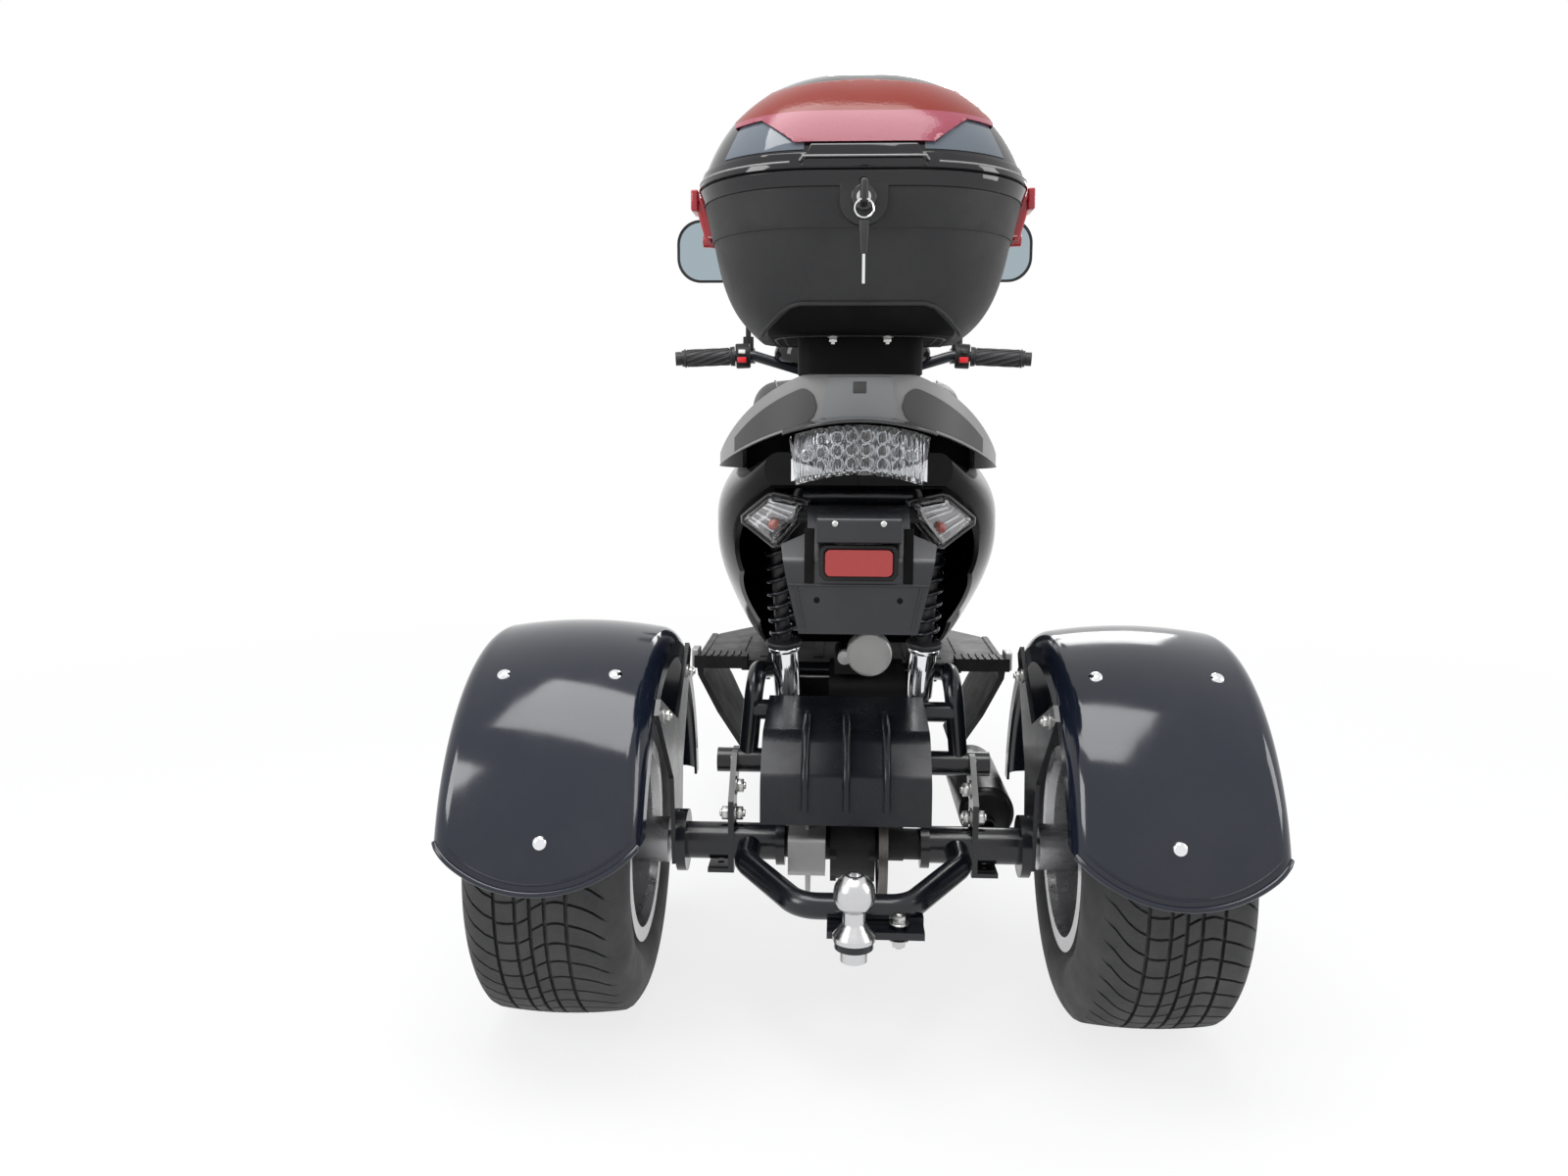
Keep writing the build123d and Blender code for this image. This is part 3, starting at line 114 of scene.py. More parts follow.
road_film, film_in, film_out = shader_group(
    "Road Film",
    [("Vector", "NodeSocketVector", None), ("Colour", "NodeSocketColor", (0.02, 0.02, 0.02, 1)),
     ("Film Colour", "NodeSocketColor", (0.2, 0.19, 0.17, 1)), ("Amount", "NodeSocketFloat", 0.1),
     ("Size", "NodeSocketFloat", 9.0)],
    [("Colour", "NodeSocketColor")],
)
film_cloud = noise(road_film, film_in.outputs["Vector"], film_in.outputs["Size"], 7.0, 0.62)
film_patch = remap(road_film, film_cloud, 0.44, 0.74)
film_mask = maths(road_film, "MULTIPLY", film_patch, film_in.outputs["Amount"])
film_colour = mixed(road_film, film_mask, film_in.outputs["Colour"], film_in.outputs["Film Colour"])
road_film.links.new(film_colour, film_out.inputs["Colour"])

uneven_gloss, gloss_in, gloss_out = shader_group(
    "Uneven Gloss",
    [("Vector", "NodeSocketVector", None), ("Size", "NodeSocketFloat", 24.0),
     ("Low", "NodeSocketFloat", 0.2), ("High", "NodeSocketFloat", 0.4)],
    [("Roughness", "NodeSocketFloat")],
)
gloss_cloud = noise(uneven_gloss, gloss_in.outputs["Vector"], gloss_in.outputs["Size"], 5.0, 0.6)
gloss_value = remap(uneven_gloss, gloss_cloud, 0.3, 0.7, gloss_in.outputs["Low"], gloss_in.outputs["High"])
uneven_gloss.links.new(gloss_value, gloss_out.inputs["Roughness"])

moulded_skin, skin_in, skin_out = shader_group(
    "Moulded Skin",
    [("Vector", "NodeSocketVector", None), ("Scale", "NodeSocketFloat", 600.0)],
    [("Height", "NodeSocketFloat")],
)
skin_cells = moulded_skin.nodes.new("ShaderNodeTexVoronoi")
moulded_skin.links.new(skin_in.outputs["Vector"], skin_cells.inputs["Vector"])
moulded_skin.links.new(skin_in.outputs["Scale"], skin_cells.inputs["Scale"])
skin_fine = noise(moulded_skin, skin_in.outputs["Vector"], skin_in.outputs["Scale"], 3.0, 0.6)
skin_height = maths(moulded_skin, "ADD", skin_cells.outputs["Distance"], skin_fine)
moulded_skin.links.new(skin_height, skin_out.inputs["Height"])

paint_flow, flow_in, flow_out = shader_group(
    "Paint Flow",
    [("Vector", "NodeSocketVector", None), ("Scale", "NodeSocketFloat", 220.0)],
    [("Height", "NodeSocketFloat")],
)
flow_height = noise(paint_flow, flow_in.outputs["Vector"], flow_in.outputs["Scale"], 1.0, 0.4)
paint_flow.links.new(flow_height, flow_out.inputs["Height"])


# Finishes
BUMP_REACH = 0.0006
COAT_ROUGHNESS = 0.03
LENS_IOR = 1.42


def finish(name, colour, gloss, metal=0.0, coat=0.0, film=0.06, film_size=9.0,
           film_colour=(0.22, 0.21, 0.19), surface=paint_flow, scale=220.0, depth=0.05,
           stretch=(1, 1, 1), shine=0.5):
    """An opaque finish: a colour under a thin film of dust, uneven gloss and a fine surface."""
    material = bpy.data.materials.new(name)
    material.use_nodes = True
    tree = material.node_tree
    shader = tree.nodes["Principled BSDF"]
    where = tree.nodes.new("ShaderNodeTexCoord")
    mapping = tree.nodes.new("ShaderNodeMapping")
    mapping.inputs["Scale"].default_value = stretch
    tree.links.new(where.outputs["Object"], mapping.inputs["Vector"])

    dust = tree.nodes.new("ShaderNodeGroup")
    dust.node_tree = road_film
    dust.inputs["Colour"].default_value = (*colour, 1)
    dust.inputs["Film Colour"].default_value = (*film_colour, 1)
    dust.inputs["Amount"].default_value = film
    dust.inputs["Size"].default_value = film_size
    tree.links.new(where.outputs["Object"], dust.inputs["Vector"])
    tree.links.new(dust.outputs["Colour"], shader.inputs["Base Color"])

    sheen = tree.nodes.new("ShaderNodeGroup")
    sheen.node_tree = uneven_gloss
    sheen.inputs["Low"].default_value = gloss[0]
    sheen.inputs["High"].default_value = gloss[1]
    tree.links.new(mapping.outputs["Vector"], sheen.inputs["Vector"])
    tree.links.new(sheen.outputs["Roughness"], shader.inputs["Roughness"])

    skin = tree.nodes.new("ShaderNodeGroup")
    skin.node_tree = surface
    skin.inputs["Scale"].default_value = scale
    tree.links.new(mapping.outputs["Vector"], skin.inputs["Vector"])
    bump = tree.nodes.new("ShaderNodeBump")
    bump.inputs["Strength"].default_value = depth
    bump.inputs["Distance"].default_value = BUMP_REACH
    tree.links.new(skin.outputs["Height"], bump.inputs["Height"])
    tree.links.new(bump.outputs["Normal"], shader.inputs["Normal"])

    shader.inputs["Metallic"].default_value = metal
    shader.inputs["Specular IOR Level"].default_value = shine
    shader.inputs["Coat Weight"].default_value = coat
    shader.inputs["Coat Roughness"].default_value = COAT_ROUGHNESS
    return material


def clear_finish(name, colour, gloss):
    """A see-through moulding, tinted, with a faint film and a fine surface."""
    material = finish(name, colour, gloss, film=0.05, film_colour=tuple(0.8 * c for c in colour),
                      scale=420.0, depth=0.04)
    shader = material.node_tree.nodes["Principled BSDF"]
    shader.inputs["Transmission Weight"].default_value = 1.0
    shader.inputs["IOR"].default_value = LENS_IOR
    return material


fender_gloss = finish("fender_gloss", (0.007, 0.010, 0.020), (0.09, 0.14), film=0.025, scale=90.0, depth=0.02)
frame_paint = finish("frame_paint", (0.007, 0.008, 0.012), (0.16, 0.26), film=0.04, scale=260.0, depth=0.06)
panel_gloss = finish("panel_gloss", (0.006, 0.006, 0.007), (0.06, 0.12), shine=0.35,
                     film=0.03, scale=120.0, depth=0.02)
side_gloss = finish("side_gloss", (0.006, 0.006, 0.007), (0.10, 0.16), shine=0.12,
                    film=0.03, scale=120.0, depth=0.02)
guard_satin = finish("guard_satin", (0.008, 0.009, 0.013), (0.22, 0.30), shine=0.32,
                     film=0.05, scale=300.0, depth=0.05)
trim_plastic = finish("trim_plastic", (0.011, 0.011, 0.012), (0.38, 0.52), shine=0.22, film=0.07,
                      surface=moulded_skin, scale=520.0, depth=0.22)
case_matt = finish("case_matt", (0.026, 0.026, 0.027), (0.46, 0.58), shine=0.3, film=0.05,
                   surface=moulded_skin, scale=760.0, depth=0.30)
# Flat black: the case rack's own black, and painted shade for the case's rear recess, the bracket's side
# folds and the gap under the grab rail
black_and_painted_shade = finish("black_and_painted_shade", (0.003, 0.003, 0.003), (0.5, 0.62), shine=0.08, film=0.03)
# The lid's own gloss black, also painted shade on the base's rim band under the lid
lid_gloss_and_rim_shade = finish("lid_gloss_and_rim_shade", (0.006, 0.006, 0.008), (0.04, 0.08), film=0.02, scale=90.0, depth=0.015)
bracket_satin = finish("bracket_satin", (0.017, 0.018, 0.021), (0.28, 0.36), film=0.04,
                       surface=moulded_skin, scale=900.0, depth=0.08)
rail_silver = finish("rail_silver", (0.30, 0.295, 0.29), (0.34, 0.44), metal=0.2, film=0.10,
                     film_colour=(0.16, 0.155, 0.15), surface=moulded_skin, scale=1100.0, depth=0.08)
# Painted shade: a dark grey laid on the grab rail's hand hollows and square recess for the shade inside them
rail_painted_shade = finish("rail_painted_shade", (0.075, 0.074, 0.074), (0.36, 0.46), metal=0.35, film=0.10,
                    film_colour=(0.05, 0.05, 0.05), surface=moulded_skin, scale=1100.0, depth=0.08)
tyre_rubber = finish("tyre_rubber", (0.034, 0.034, 0.035), (0.58, 0.78), film=0.26, film_size=22.0,
                     film_colour=(0.10, 0.097, 0.092), surface=moulded_skin, scale=420.0, depth=0.25)
rim_silver = finish("rim_silver", (0.50, 0.50, 0.51), (0.22, 0.34), metal=0.9, film=0.10,
                    film_colour=(0.22, 0.21, 0.20), scale=240.0, depth=0.05)
chrome = finish("chrome", (0.80, 0.81, 0.83), (0.04, 0.11), metal=1.0, film=0.05, film_colour=(0.4, 0.4, 0.4),
                scale=160.0, depth=0.02)
zinc = finish("zinc", (0.58, 0.58, 0.57), (0.22, 0.38), metal=1.0, film=0.14, film_colour=(0.25, 0.23, 0.2),
              scale=700.0, depth=0.12)
turned_steel = finish("turned_steel", (0.62, 0.62, 0.63), (0.16, 0.28), metal=1.0, film=0.08,
                      film_colour=(0.3, 0.3, 0.3), scale=300.0, depth=0.10, stretch=(1, 1, 9))
cast_alloy = finish("cast_alloy", (0.40, 0.40, 0.40), (0.42, 0.58), metal=0.8, film=0.12,
                    film_colour=(0.2, 0.19, 0.17), surface=moulded_skin, scale=650.0, depth=0.30)
black_casting = finish("black_casting", (0.010, 0.010, 0.011), (0.40, 0.55), shine=0.25, film=0.10,
                       film_colour=(0.09, 0.085, 0.08), surface=moulded_skin, scale=500.0, depth=0.35)
exhaust_black = finish("exhaust_black", (0.012, 0.012, 0.013), (0.26, 0.38), film=0.10,
                       film_colour=(0.11, 0.10, 0.09), scale=380.0, depth=0.12)
chain_steel = finish("chain_steel", (0.16, 0.15, 0.14), (0.32, 0.46), metal=0.9, film=0.25,
                     film_colour=(0.02, 0.018, 0.015), film_size=40.0, scale=500.0, depth=0.15)
grip_rubber = finish("grip_rubber", (0.014, 0.014, 0.016), (0.42, 0.56), film=0.06,
                     surface=moulded_skin, scale=620.0, depth=0.20)
seat_vinyl = finish("seat_vinyl", (0.013, 0.013, 0.014), (0.34, 0.46), film=0.04,
                    surface=moulded_skin, scale=430.0, depth=0.55)
seat_thread = finish("seat_thread", (0.05, 0.05, 0.052), (0.6, 0.75),
                     surface=moulded_skin, scale=900.0, depth=0.4)
button_red = finish("button_red", (0.62, 0.012, 0.020), (0.28, 0.40), film=0.05,
                    film_colour=(0.35, 0.02, 0.02))
latch_red = finish("latch_red", (0.36, 0.010, 0.020), (0.16, 0.28), coat=0.4, film=0.06,
                   film_colour=(0.10, 0.01, 0.01))
switch_white = finish("switch_white", (0.75, 0.75, 0.73), (0.3, 0.45), film=0.08,
                      film_colour=(0.4, 0.4, 0.38))
bulb_amber = finish("bulb_amber", (0.42, 0.10, 0.08), (0.10, 0.18), coat=0.6, film=0.04,
                    film_colour=(0.3, 0.04, 0.03))
lamp_bowl = finish("lamp_bowl", (0.52, 0.53, 0.55), (0.08, 0.16), metal=1.0, film=0.05,
                   film_colour=(0.3, 0.3, 0.32), scale=260.0, depth=0.06)
lamp_bezel = finish("lamp_bezel", (0.012, 0.012, 0.013), (0.12, 0.20), coat=0.5, film=0.03)
clear_lens = clear_finish("clear_lens", (0.93, 0.94, 0.95), (0.02, 0.05))
red_lens = clear_finish("red_lens", (0.72, 0.028, 0.022), (0.03, 0.07))
reflector_red = finish("reflector_red", (0.36, 0.008, 0.008), (0.12, 0.22), coat=0.8, film=0.05,
                       film_colour=(0.30, 0.03, 0.03), surface=moulded_skin, scale=330.0, depth=0.5)
mirror_silver = finish("mirror_silver", (0.36, 0.43, 0.47), (0.015, 0.035), metal=1.0, film=0.02,
                       film_colour=(0.6, 0.6, 0.6), scale=30.0, depth=0.01)
lamp_grey = finish("lamp_grey", (0.16, 0.16, 0.17), (0.10, 0.20), metal=0.8, film=0.05)
# White for the tail lamp's rings and lip; painted highlight on the rear signals' ribs
lamp_white_and_highlight = finish("lamp_white_and_highlight", (0.80, 0.81, 0.82), (0.12, 0.20), film=0.03, film_colour=(0.5, 0.5, 0.5))
signal_bowl = finish("signal_bowl", (0.30, 0.285, 0.29), (0.10, 0.20), metal=0.9, film=0.05)
rail_panel_grey = finish("rail_panel_grey", (0.27, 0.275, 0.28), (0.26, 0.36), metal=0.3, film=0.06,
                         surface=moulded_skin, scale=1100.0, depth=0.06)
lens_band = finish("lens_band", (0.20, 0.022, 0.014), (0.10, 0.18), shine=0.2, film=0.04,
                   film_colour=(0.3, 0.04, 0.03), surface=moulded_skin, scale=260.0, depth=0.12)
lens_field = finish("lens_field", (0.29, 0.055, 0.085), (0.12, 0.20), shine=0.3, film=0.05,
                    film_colour=(0.4, 0.1, 0.1), surface=moulded_skin, scale=260.0, depth=0.12)
window_grey = finish("window_grey", (0.105, 0.125, 0.150), (0.03, 0.07), film=0.04, scale=120.0, depth=0.02)
cover_alloy = finish("cover_alloy", (0.80, 0.80, 0.77), (0.30, 0.42), metal=0.25, film=0.10)

NODE_FINISH = {
    "main_frame": frame_paint, "axle_carrier": frame_paint, "hitch_bar": frame_paint,
    "tow_ball": turned_steel, "final_drive": black_casting, "drive_chain": chain_steel,
    "rear_brake": cast_alloy, "engine": black_casting, "belt_case": black_casting, "muffler": exhaust_black,
    "engine_guard": guard_satin, "shock_bodies": chrome, "shock_springs": frame_paint,
    "fender_left": fender_gloss, "fender_right": fender_gloss, "floor_board": trim_plastic,
    "floor_skirts": trim_plastic, "footrests": trim_plastic, "leg_shield": trim_plastic,
    "front_apron": panel_gloss, "headlamp": clear_lens, "front_signals": clear_lens,
    "side_panel_left": side_gloss, "side_panel_right": side_gloss, "storage_bin": trim_plastic,
    "grab_rail": rail_silver, "tail_lamp": clear_lens, "rear_signals": clear_lens,
    "plate_bracket": bracket_satin, "rear_reflector": reflector_red, "case_rack": black_and_painted_shade,
    "case_base": case_matt, "case_latches": latch_red, "case_lock": zinc, "seat": seat_vinyl,
    "case_lid": lid_gloss_and_rim_shade, "case_lens": red_lens, "fork": frame_paint, "front_fender": panel_gloss,
    "handlebar": frame_paint, "grips": grip_rubber, "hand_controls": trim_plastic, "bar_cover": panel_gloss,
    "mirrors": trim_plastic, "mirror_glass": mirror_silver, "front_tyre": tyre_rubber,
    "front_rim": rim_silver, "front_disc": turned_steel, "rear_tyre_left": tyre_rubber,
    "rear_rim_left": rim_silver, "rear_tyre_right": tyre_rubber, "rear_rim_right": rim_silver,
}
for node_name, node_finish in NODE_FINISH.items():
    for slot in nodes[node_name].material_slots:
        slot.material = node_finish


# Working by hand: selecting, starting and finishing a piece
PATCH_MERGE, SKIN_MERGE = 0.00002, 0.00005


def put_down():
    """Leaves edit mode and selects nothing."""
    if bpy.context.mode != "OBJECT":
        bpy.ops.object.mode_set(mode="OBJECT")
    bpy.ops.object.select_all(action="DESELECT")


def take(piece):
    """Makes a piece the only one selected and active."""
    put_down()
    piece.select_set(True)
    bpy.context.view_layer.objects.active = piece


def open_up(piece):
    """Takes a piece into edit mode with nothing selected."""
    take(piece)
    bpy.ops.object.mode_set(mode="EDIT")
    bpy.ops.mesh.select_all(action="DESELECT")


def choose(piece, test):
    """In edit mode, selects the faces whose middle and direction pass a test."""
    bpy.ops.mesh.select_mode(type="FACE")
    bpy.ops.mesh.select_all(action="DESELECT")
    mesh = bmesh.from_edit_mesh(piece.data)
    for face in mesh.faces:
        face.select_set(test(face.calc_center_median(), face.normal))
    mesh.select_flush_mode()
    bmesh.update_edit_mesh(piece.data)


def titled(piece, name):
    """A piece with its object and its mesh named."""
    piece.name = name
    piece.data.name = name
    return piece


def named(name):
    """The primitive just added, named, with its place and size put into its mesh."""
    bpy.ops.object.transform_apply(location=True, rotation=True, scale=True)
    return titled(bpy.context.object, name)


def block(name, low, high):
    """A box between two corners given in millimetres."""
    put_down()
    a, b = place(*low), place(*high)
    bpy.ops.mesh.primitive_cube_add(size=1, location=(a + b) / 2)
    bpy.context.object.scale = [abs(v) for v in b - a]
    return named(name)


def drum(name, start, end, radius, sides=32):
    """A round bar between two points given in millimetres."""
    put_down()
    a, b = place(*start), place(*end)
    run = b - a
    bpy.ops.mesh.primitive_cylinder_add(vertices=sides, radius=radius / 1000, depth=run.length,
                                        location=(a + b) / 2, rotation=run.to_track_quat("Z", "Y").to_euler())
    return named(name)


def flat_grid(name, columns, rows):
    """A flat grid from -1 to 1 each way."""
    put_down()
    bpy.ops.mesh.primitive_grid_add(x_subdivisions=columns, y_subdivisions=rows, size=2)
    return titled(bpy.context.object, name)


def use_modifier(piece, kind, **settings):
    """Adds a modifier with these settings and applies it."""
    take(piece)
    modifier = piece.modifiers.new(kind.title(), kind)
    for label, value in settings.items():
        setattr(modifier, label, value)
    bpy.ops.object.modifier_apply(modifier=modifier.name)


def soften(piece, width, segments, angle=35):
    """Rounds the sharp edges of a piece."""
    use_modifier(piece, "BEVEL", width=width / 1000, segments=segments, limit_method="ANGLE",
                 angle_limit=math.radians(angle))


def complete(piece, material, body, smooth=35):
    """Puts a piece's place into its mesh, gives it its finish and lets it ride on a body."""
    take(piece)
    bpy.ops.object.transform_apply(location=True, rotation=True, scale=True)
    piece.data.materials.clear()
    piece.data.materials.append(material)
    bpy.ops.object.shade_smooth_by_angle(angle=math.radians(smooth))
    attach(piece, body)
    put_down()
    return piece


def rounded(piece, width, segments, material, body="chassis", angle=35):
    """Rounds the sharp edges of a piece and completes it."""
    soften(piece, width, segments, angle)
    complete(piece, material, body)


def merge_points(piece, distance=0.00001, outward=False):
    """Merges doubled points, and turns the faces outward where asked."""
    open_up(piece)
    bpy.ops.mesh.select_all(action="SELECT")
    bpy.ops.mesh.remove_doubles(threshold=distance)
    if outward:
        bpy.ops.mesh.normals_make_consistent(inside=False)
    put_down()


def copy_of_node(node, name):
    """A merged copy of a CAD node's mesh, to be cut into trim."""
    put_down()
    piece = bpy.data.objects.new(name, nodes[node].data.copy())
    bpy.context.collection.objects.link(piece)
    merge_points(piece)
    return piece


def joined(name, pieces):
    """Several objects made one."""
    put_down()
    for piece in pieces:
        piece.select_set(True)
    bpy.context.view_layer.objects.active = pieces[0]
    if len(pieces) > 1:
        bpy.ops.object.join()
    return titled(bpy.context.object, name)


def set_out(master, name, spots):
    """Copies of a master piece, modelled at the origin with its head up Z, each with its own mesh."""
    copies = []
    for point, direction in spots:
        copy = bpy.data.objects.new(name, master.data.copy())
        bpy.context.collection.objects.link(copy)
        turn = Vector(direction).to_track_quat("Z", "Y").to_matrix().to_4x4()
        copy.matrix_world = Matrix.Translation(place(*point)) @ turn
        take(copy)
        bpy.ops.object.transform_apply(location=True, rotation=True, scale=True)
        copies.append(copy)
    return joined(name, copies)


def bead(name, paths, radius, material, body="chassis", sides=3, cyclic=False):
    """A round bead along one or more lines of points in millimetres, made a mesh and completed."""
    put_down()
    curve = bpy.data.curves.new(name, "CURVE")
    curve.dimensions = "3D"
    curve.bevel_depth = radius / 1000
    curve.bevel_resolution = sides
    curve.use_fill_caps = True
    for path in paths:
        spline = curve.splines.new("POLY")
        spline.points.add(len(path) - 1)
        for point, spot in zip(spline.points, path):
            point.co = (*place(*spot), 1)
        spline.use_cyclic_u = cyclic
    piece = bpy.data.objects.new(name, curve)
    bpy.context.collection.objects.link(piece)
    take(piece)
    bpy.ops.object.convert(target="MESH")
    piece = bpy.context.object
    merge_points(piece, PATCH_MERGE, outward=True)
    return complete(piece, material, body)


# Tyres: one pitch of tread is modelled flat, laid on the tyre's section and spun round the hub
GROOVE_WALL = 0.5
STATION_STEP, STATION_CLEAR = 7.0, 3.4
CROSS_SHARE, CROSS_FADE = 0.85, 9.0
BLOCK_ROWS = (0.36, 0.64)
TREAD_MERGE = 0.00012


def section_line(half_points):
    """A tyre section from its middle to one bead, with the length run along it."""
    run = [0.0]
    for a, b in zip(half_points, half_points[1:]):
        run.append(run[-1] + math.dist(a, b))
    return half_points, run


def on_section(section, u):
    """The point (across, radius) and its outward direction at a signed length from the middle."""
    points, run = section
    side = -1.0 if u < 0 else 1.0
    u = min(abs(u), run[-1] - 0.0001)
    k = next(i for i in range(len(run) - 1) if run[i + 1] >= u)
    t = (u - run[k]) / (run[k + 1] - run[k])
    (x0, r0), (x1, r1) = points[k], points[k + 1]
    length = math.hypot(x1 - x0, r1 - r0)
    normal = (-(r1 - r0) / length, (x1 - x0) / length)
    return (side * (x0 + t * (x1 - x0)), r0 + t * (r1 - r0)), (side * normal[0], normal[1])


def arc_points(start, through, end, count):
    """Points on the arc through three points, the first left out."""
    (ax, ay), (bx, by), (cx, cy) = start, through, end
    a2, b2, c2 = ax * ax + ay * ay, bx * bx + by * by, cx * cx + cy * cy
    d = 2 * (ax * (by - cy) + bx * (cy - ay) + cx * (ay - by))
    ux = (a2 * (by - cy) + b2 * (cy - ay) + c2 * (ay - by)) / d
    uy = (a2 * (cx - bx) + b2 * (ax - cx) + c2 * (bx - ax)) / d
    radius = math.dist((ux, uy), start)
    first = math.atan2(ay - uy, ax - ux)
    last = math.atan2(cy - uy, cx - ux)
    while last - first > math.pi:
        last -= 2 * math.pi
    while last - first < -math.pi:
        last += 2 * math.pi
    turns = [first + (last - first) * k / count for k in range(1, count + 1)]
    return [(ux + radius * math.cos(a), uy + radius * math.sin(a)) for a in turns]


def between(table, u):
    """A value read from a table of (position, value) pairs."""
    if u <= table[0][0]:
        return table[0][1]
    for (a, va), (b, vb) in zip(table, table[1:]):
        if u <= b:
            return va + (vb - va) * (u - a) / (b - a)
    return table[-1][1]


def treaded_tyre(name, node, body, hub, section, bead_r, pitches, rings, ring_half, cross_half, depth, sweep,
                 tread_end, shift):
    """A tyre whose ring grooves and swept cross grooves are cut into its mesh."""
    (bead_x, bead_top), reach, crown = section[0][-1], section[1][-1], section[0][0][1]
    stations = []
    for ring in rings:
        c = ring + shift
        stations += [(c - ring_half, False), (c - ring_half + GROOVE_WALL, True),
                     (c + ring_half - GROOVE_WALL, True), (c + ring_half, False)]
    edges = [u for u, ring_floor in stations]
    u = -reach
    while u < reach:
        if all(abs(u - e) > STATION_CLEAR for e in edges):
            stations.append((u, False))
        u += STATION_STEP
    stations.append((reach, False))
    stations.sort()
    pitch = 2 * math.pi * crown / pitches
    rows = [(-cross_half + GROOVE_WALL, True), (cross_half - GROOVE_WALL, True), (cross_half, False)]
    rows += [(pitch * share, False) for share in BLOCK_ROWS]
    rows += [(pitch - cross_half, False), (pitch - cross_half + GROOVE_WALL, True)]
    inside = ((bead_x, bead_r), (-bead_x, bead_r), (-bead_x, bead_top))
    columns = len(stations) + len(inside)
    piece = flat_grid(name, columns - 1, len(rows) - 1)
    for point in piece.data.vertices:
        i = round((point.co.x + 1) / 2 * (columns - 1))
        j = round((point.co.y + 1) / 2 * (len(rows) - 1))
        row, row_floor = rows[j]
        if i < len(stations):
            u, ring_floor = stations[i]
            (x, r), (nx, nr) = on_section(section, u)
            fade = max(0.0, min(1.0, (tread_end - abs(u - shift)) / CROSS_FADE))
            cut = depth if ring_floor else depth * CROSS_SHARE * fade if row_floor else 0.0
            x, r = x - cut * nx, r - cut * nr
        else:
            x, r = inside[i - len(stations)]
            u = reach if i == len(stations) else -reach
        angle = (row + between(sweep, u - shift)) / crown
        point.co = place(hub[0] + x, hub[1] - r * math.cos(angle), hub[2] + r * math.sin(angle))
    open_up(piece)
    bpy.ops.mesh.select_all(action="SELECT")
    bpy.ops.mesh.spin(steps=pitches - 1, dupli=True, angle=2 * math.pi * (pitches - 1) / pitches,
                      center=place(*hub), axis=(1, 0, 0))
    merge_points(piece, TREAD_MERGE, outward=True)
    complete(piece, tyre_rubber, body, smooth=28)
    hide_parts(node)


REAR_CROWN, REAR_EDGE, REAR_SHOULDER, REAR_BEAD = (0.0, 229.5), (77.5, 224.5), (90.5, 216), (88, 139)
rear_half = [REAR_CROWN]
rear_half += arc_points(REAR_CROWN, (39, 228.25), REAR_EDGE, 10)
rear_half += arc_points(REAR_EDGE, (85.5, 221.5), REAR_SHOULDER, 5)
rear_half += arc_points(REAR_SHOULDER, (103.5, 180), REAR_BEAD, 16)
REAR_SWEEP = [(-104, 58), (-94, 50), (-82, 38), (-70, 22), (-57, 10), (-46.4, 5), (-41.6, 0), (-31, -1.5),
              (-20.4, 0), (-15.6, 0), (-8, 4), (-2.4, 7.5), (2.4, -8), (10, -3), (15.6, 0), (20.4, 0),
              (31, 2.5), (41.6, 0), (46.4, -1.5), (56, -4), (66, -7.5), (76, -13), (88, -22), (104, -30)]
for side, name in SIDES:
    treaded_tyre(f"tread_tyre_{name}", f"rear_tyre_{name}", f"rear_wheel_{name}",
                 (side * TRACK, 0, REAR_HUB_Z), section_line(rear_half), bead_r=127.3, pitches=52,
                 rings=(-44, -18, 0, 18, 44), ring_half=2.4, cross_half=1.9, depth=5.5, sweep=REAR_SWEEP,
                 tread_end=92, shift=side * 9)

FRONT_CROWN, FRONT_SHOULDER, FRONT_BEAD = (0.0, 236.5), (54, 208), (42, 164)
front_half = [FRONT_CROWN]
front_half += arc_points(FRONT_CROWN, (34, 227.0), FRONT_SHOULDER, 14)
front_half += arc_points(FRONT_SHOULDER, (60, 190), FRONT_BEAD, 10)
FRONT_SWEEP = [(-80, 44), (-52, 34), (-20, 8), (0, 0), (20, 8), (52, 34), (80, 44)]
treaded_tyre("tread_tyre_front", "front_tyre", "front_wheel", (0, WHEELBASE, FRONT_HUB_Z),
             section_line(front_half), bead_r=152.7, pitches=46, rings=(-17, 17), ring_half=1.8,
             cross_half=1.6, depth=4.5, sweep=FRONT_SWEEP, tread_end=56, shift=0)


# Cutting, swelling and small fittings that are modelled once and copied
UP, DOWN, BACK = (0, 0, 1), (0, 0, -1), (0, -1, 0)


def at(spot):
    """A point of a mesh in millimetres from the rear axle."""
    return Vector((spot.x * 1000, (spot.y - AXLE_Y) * 1000, spot.z * 1000))


def trimmed(piece, point, direction, fill=False):
    """Cuts a piece with a plane and keeps the side that the direction faces."""
    open_up(piece)
    bpy.ops.mesh.select_all(action="SELECT")
    bpy.ops.mesh.bisect(plane_co=place(*point), plane_no=direction, clear_inner=True, use_fill=fill)
    put_down()


def drop(piece, test):
    """Deletes the faces that pass a test."""
    open_up(piece)
    choose(piece, test)
    bpy.ops.mesh.delete(type="FACE")
    put_down()


def squeezed(piece, test, factors, centre):
    """Scales the faces that pass a test about a point."""
    open_up(piece)
    choose(piece, test)
    bpy.ops.transform.resize(value=factors, center_override=place(*centre))
    put_down()


def swell(piece, distance):
    """Moves every point along its normal by millimetres."""
    open_up(piece)
    bpy.ops.mesh.select_all(action="SELECT")
    bpy.ops.transform.shrink_fatten(value=distance / 1000)
    put_down()


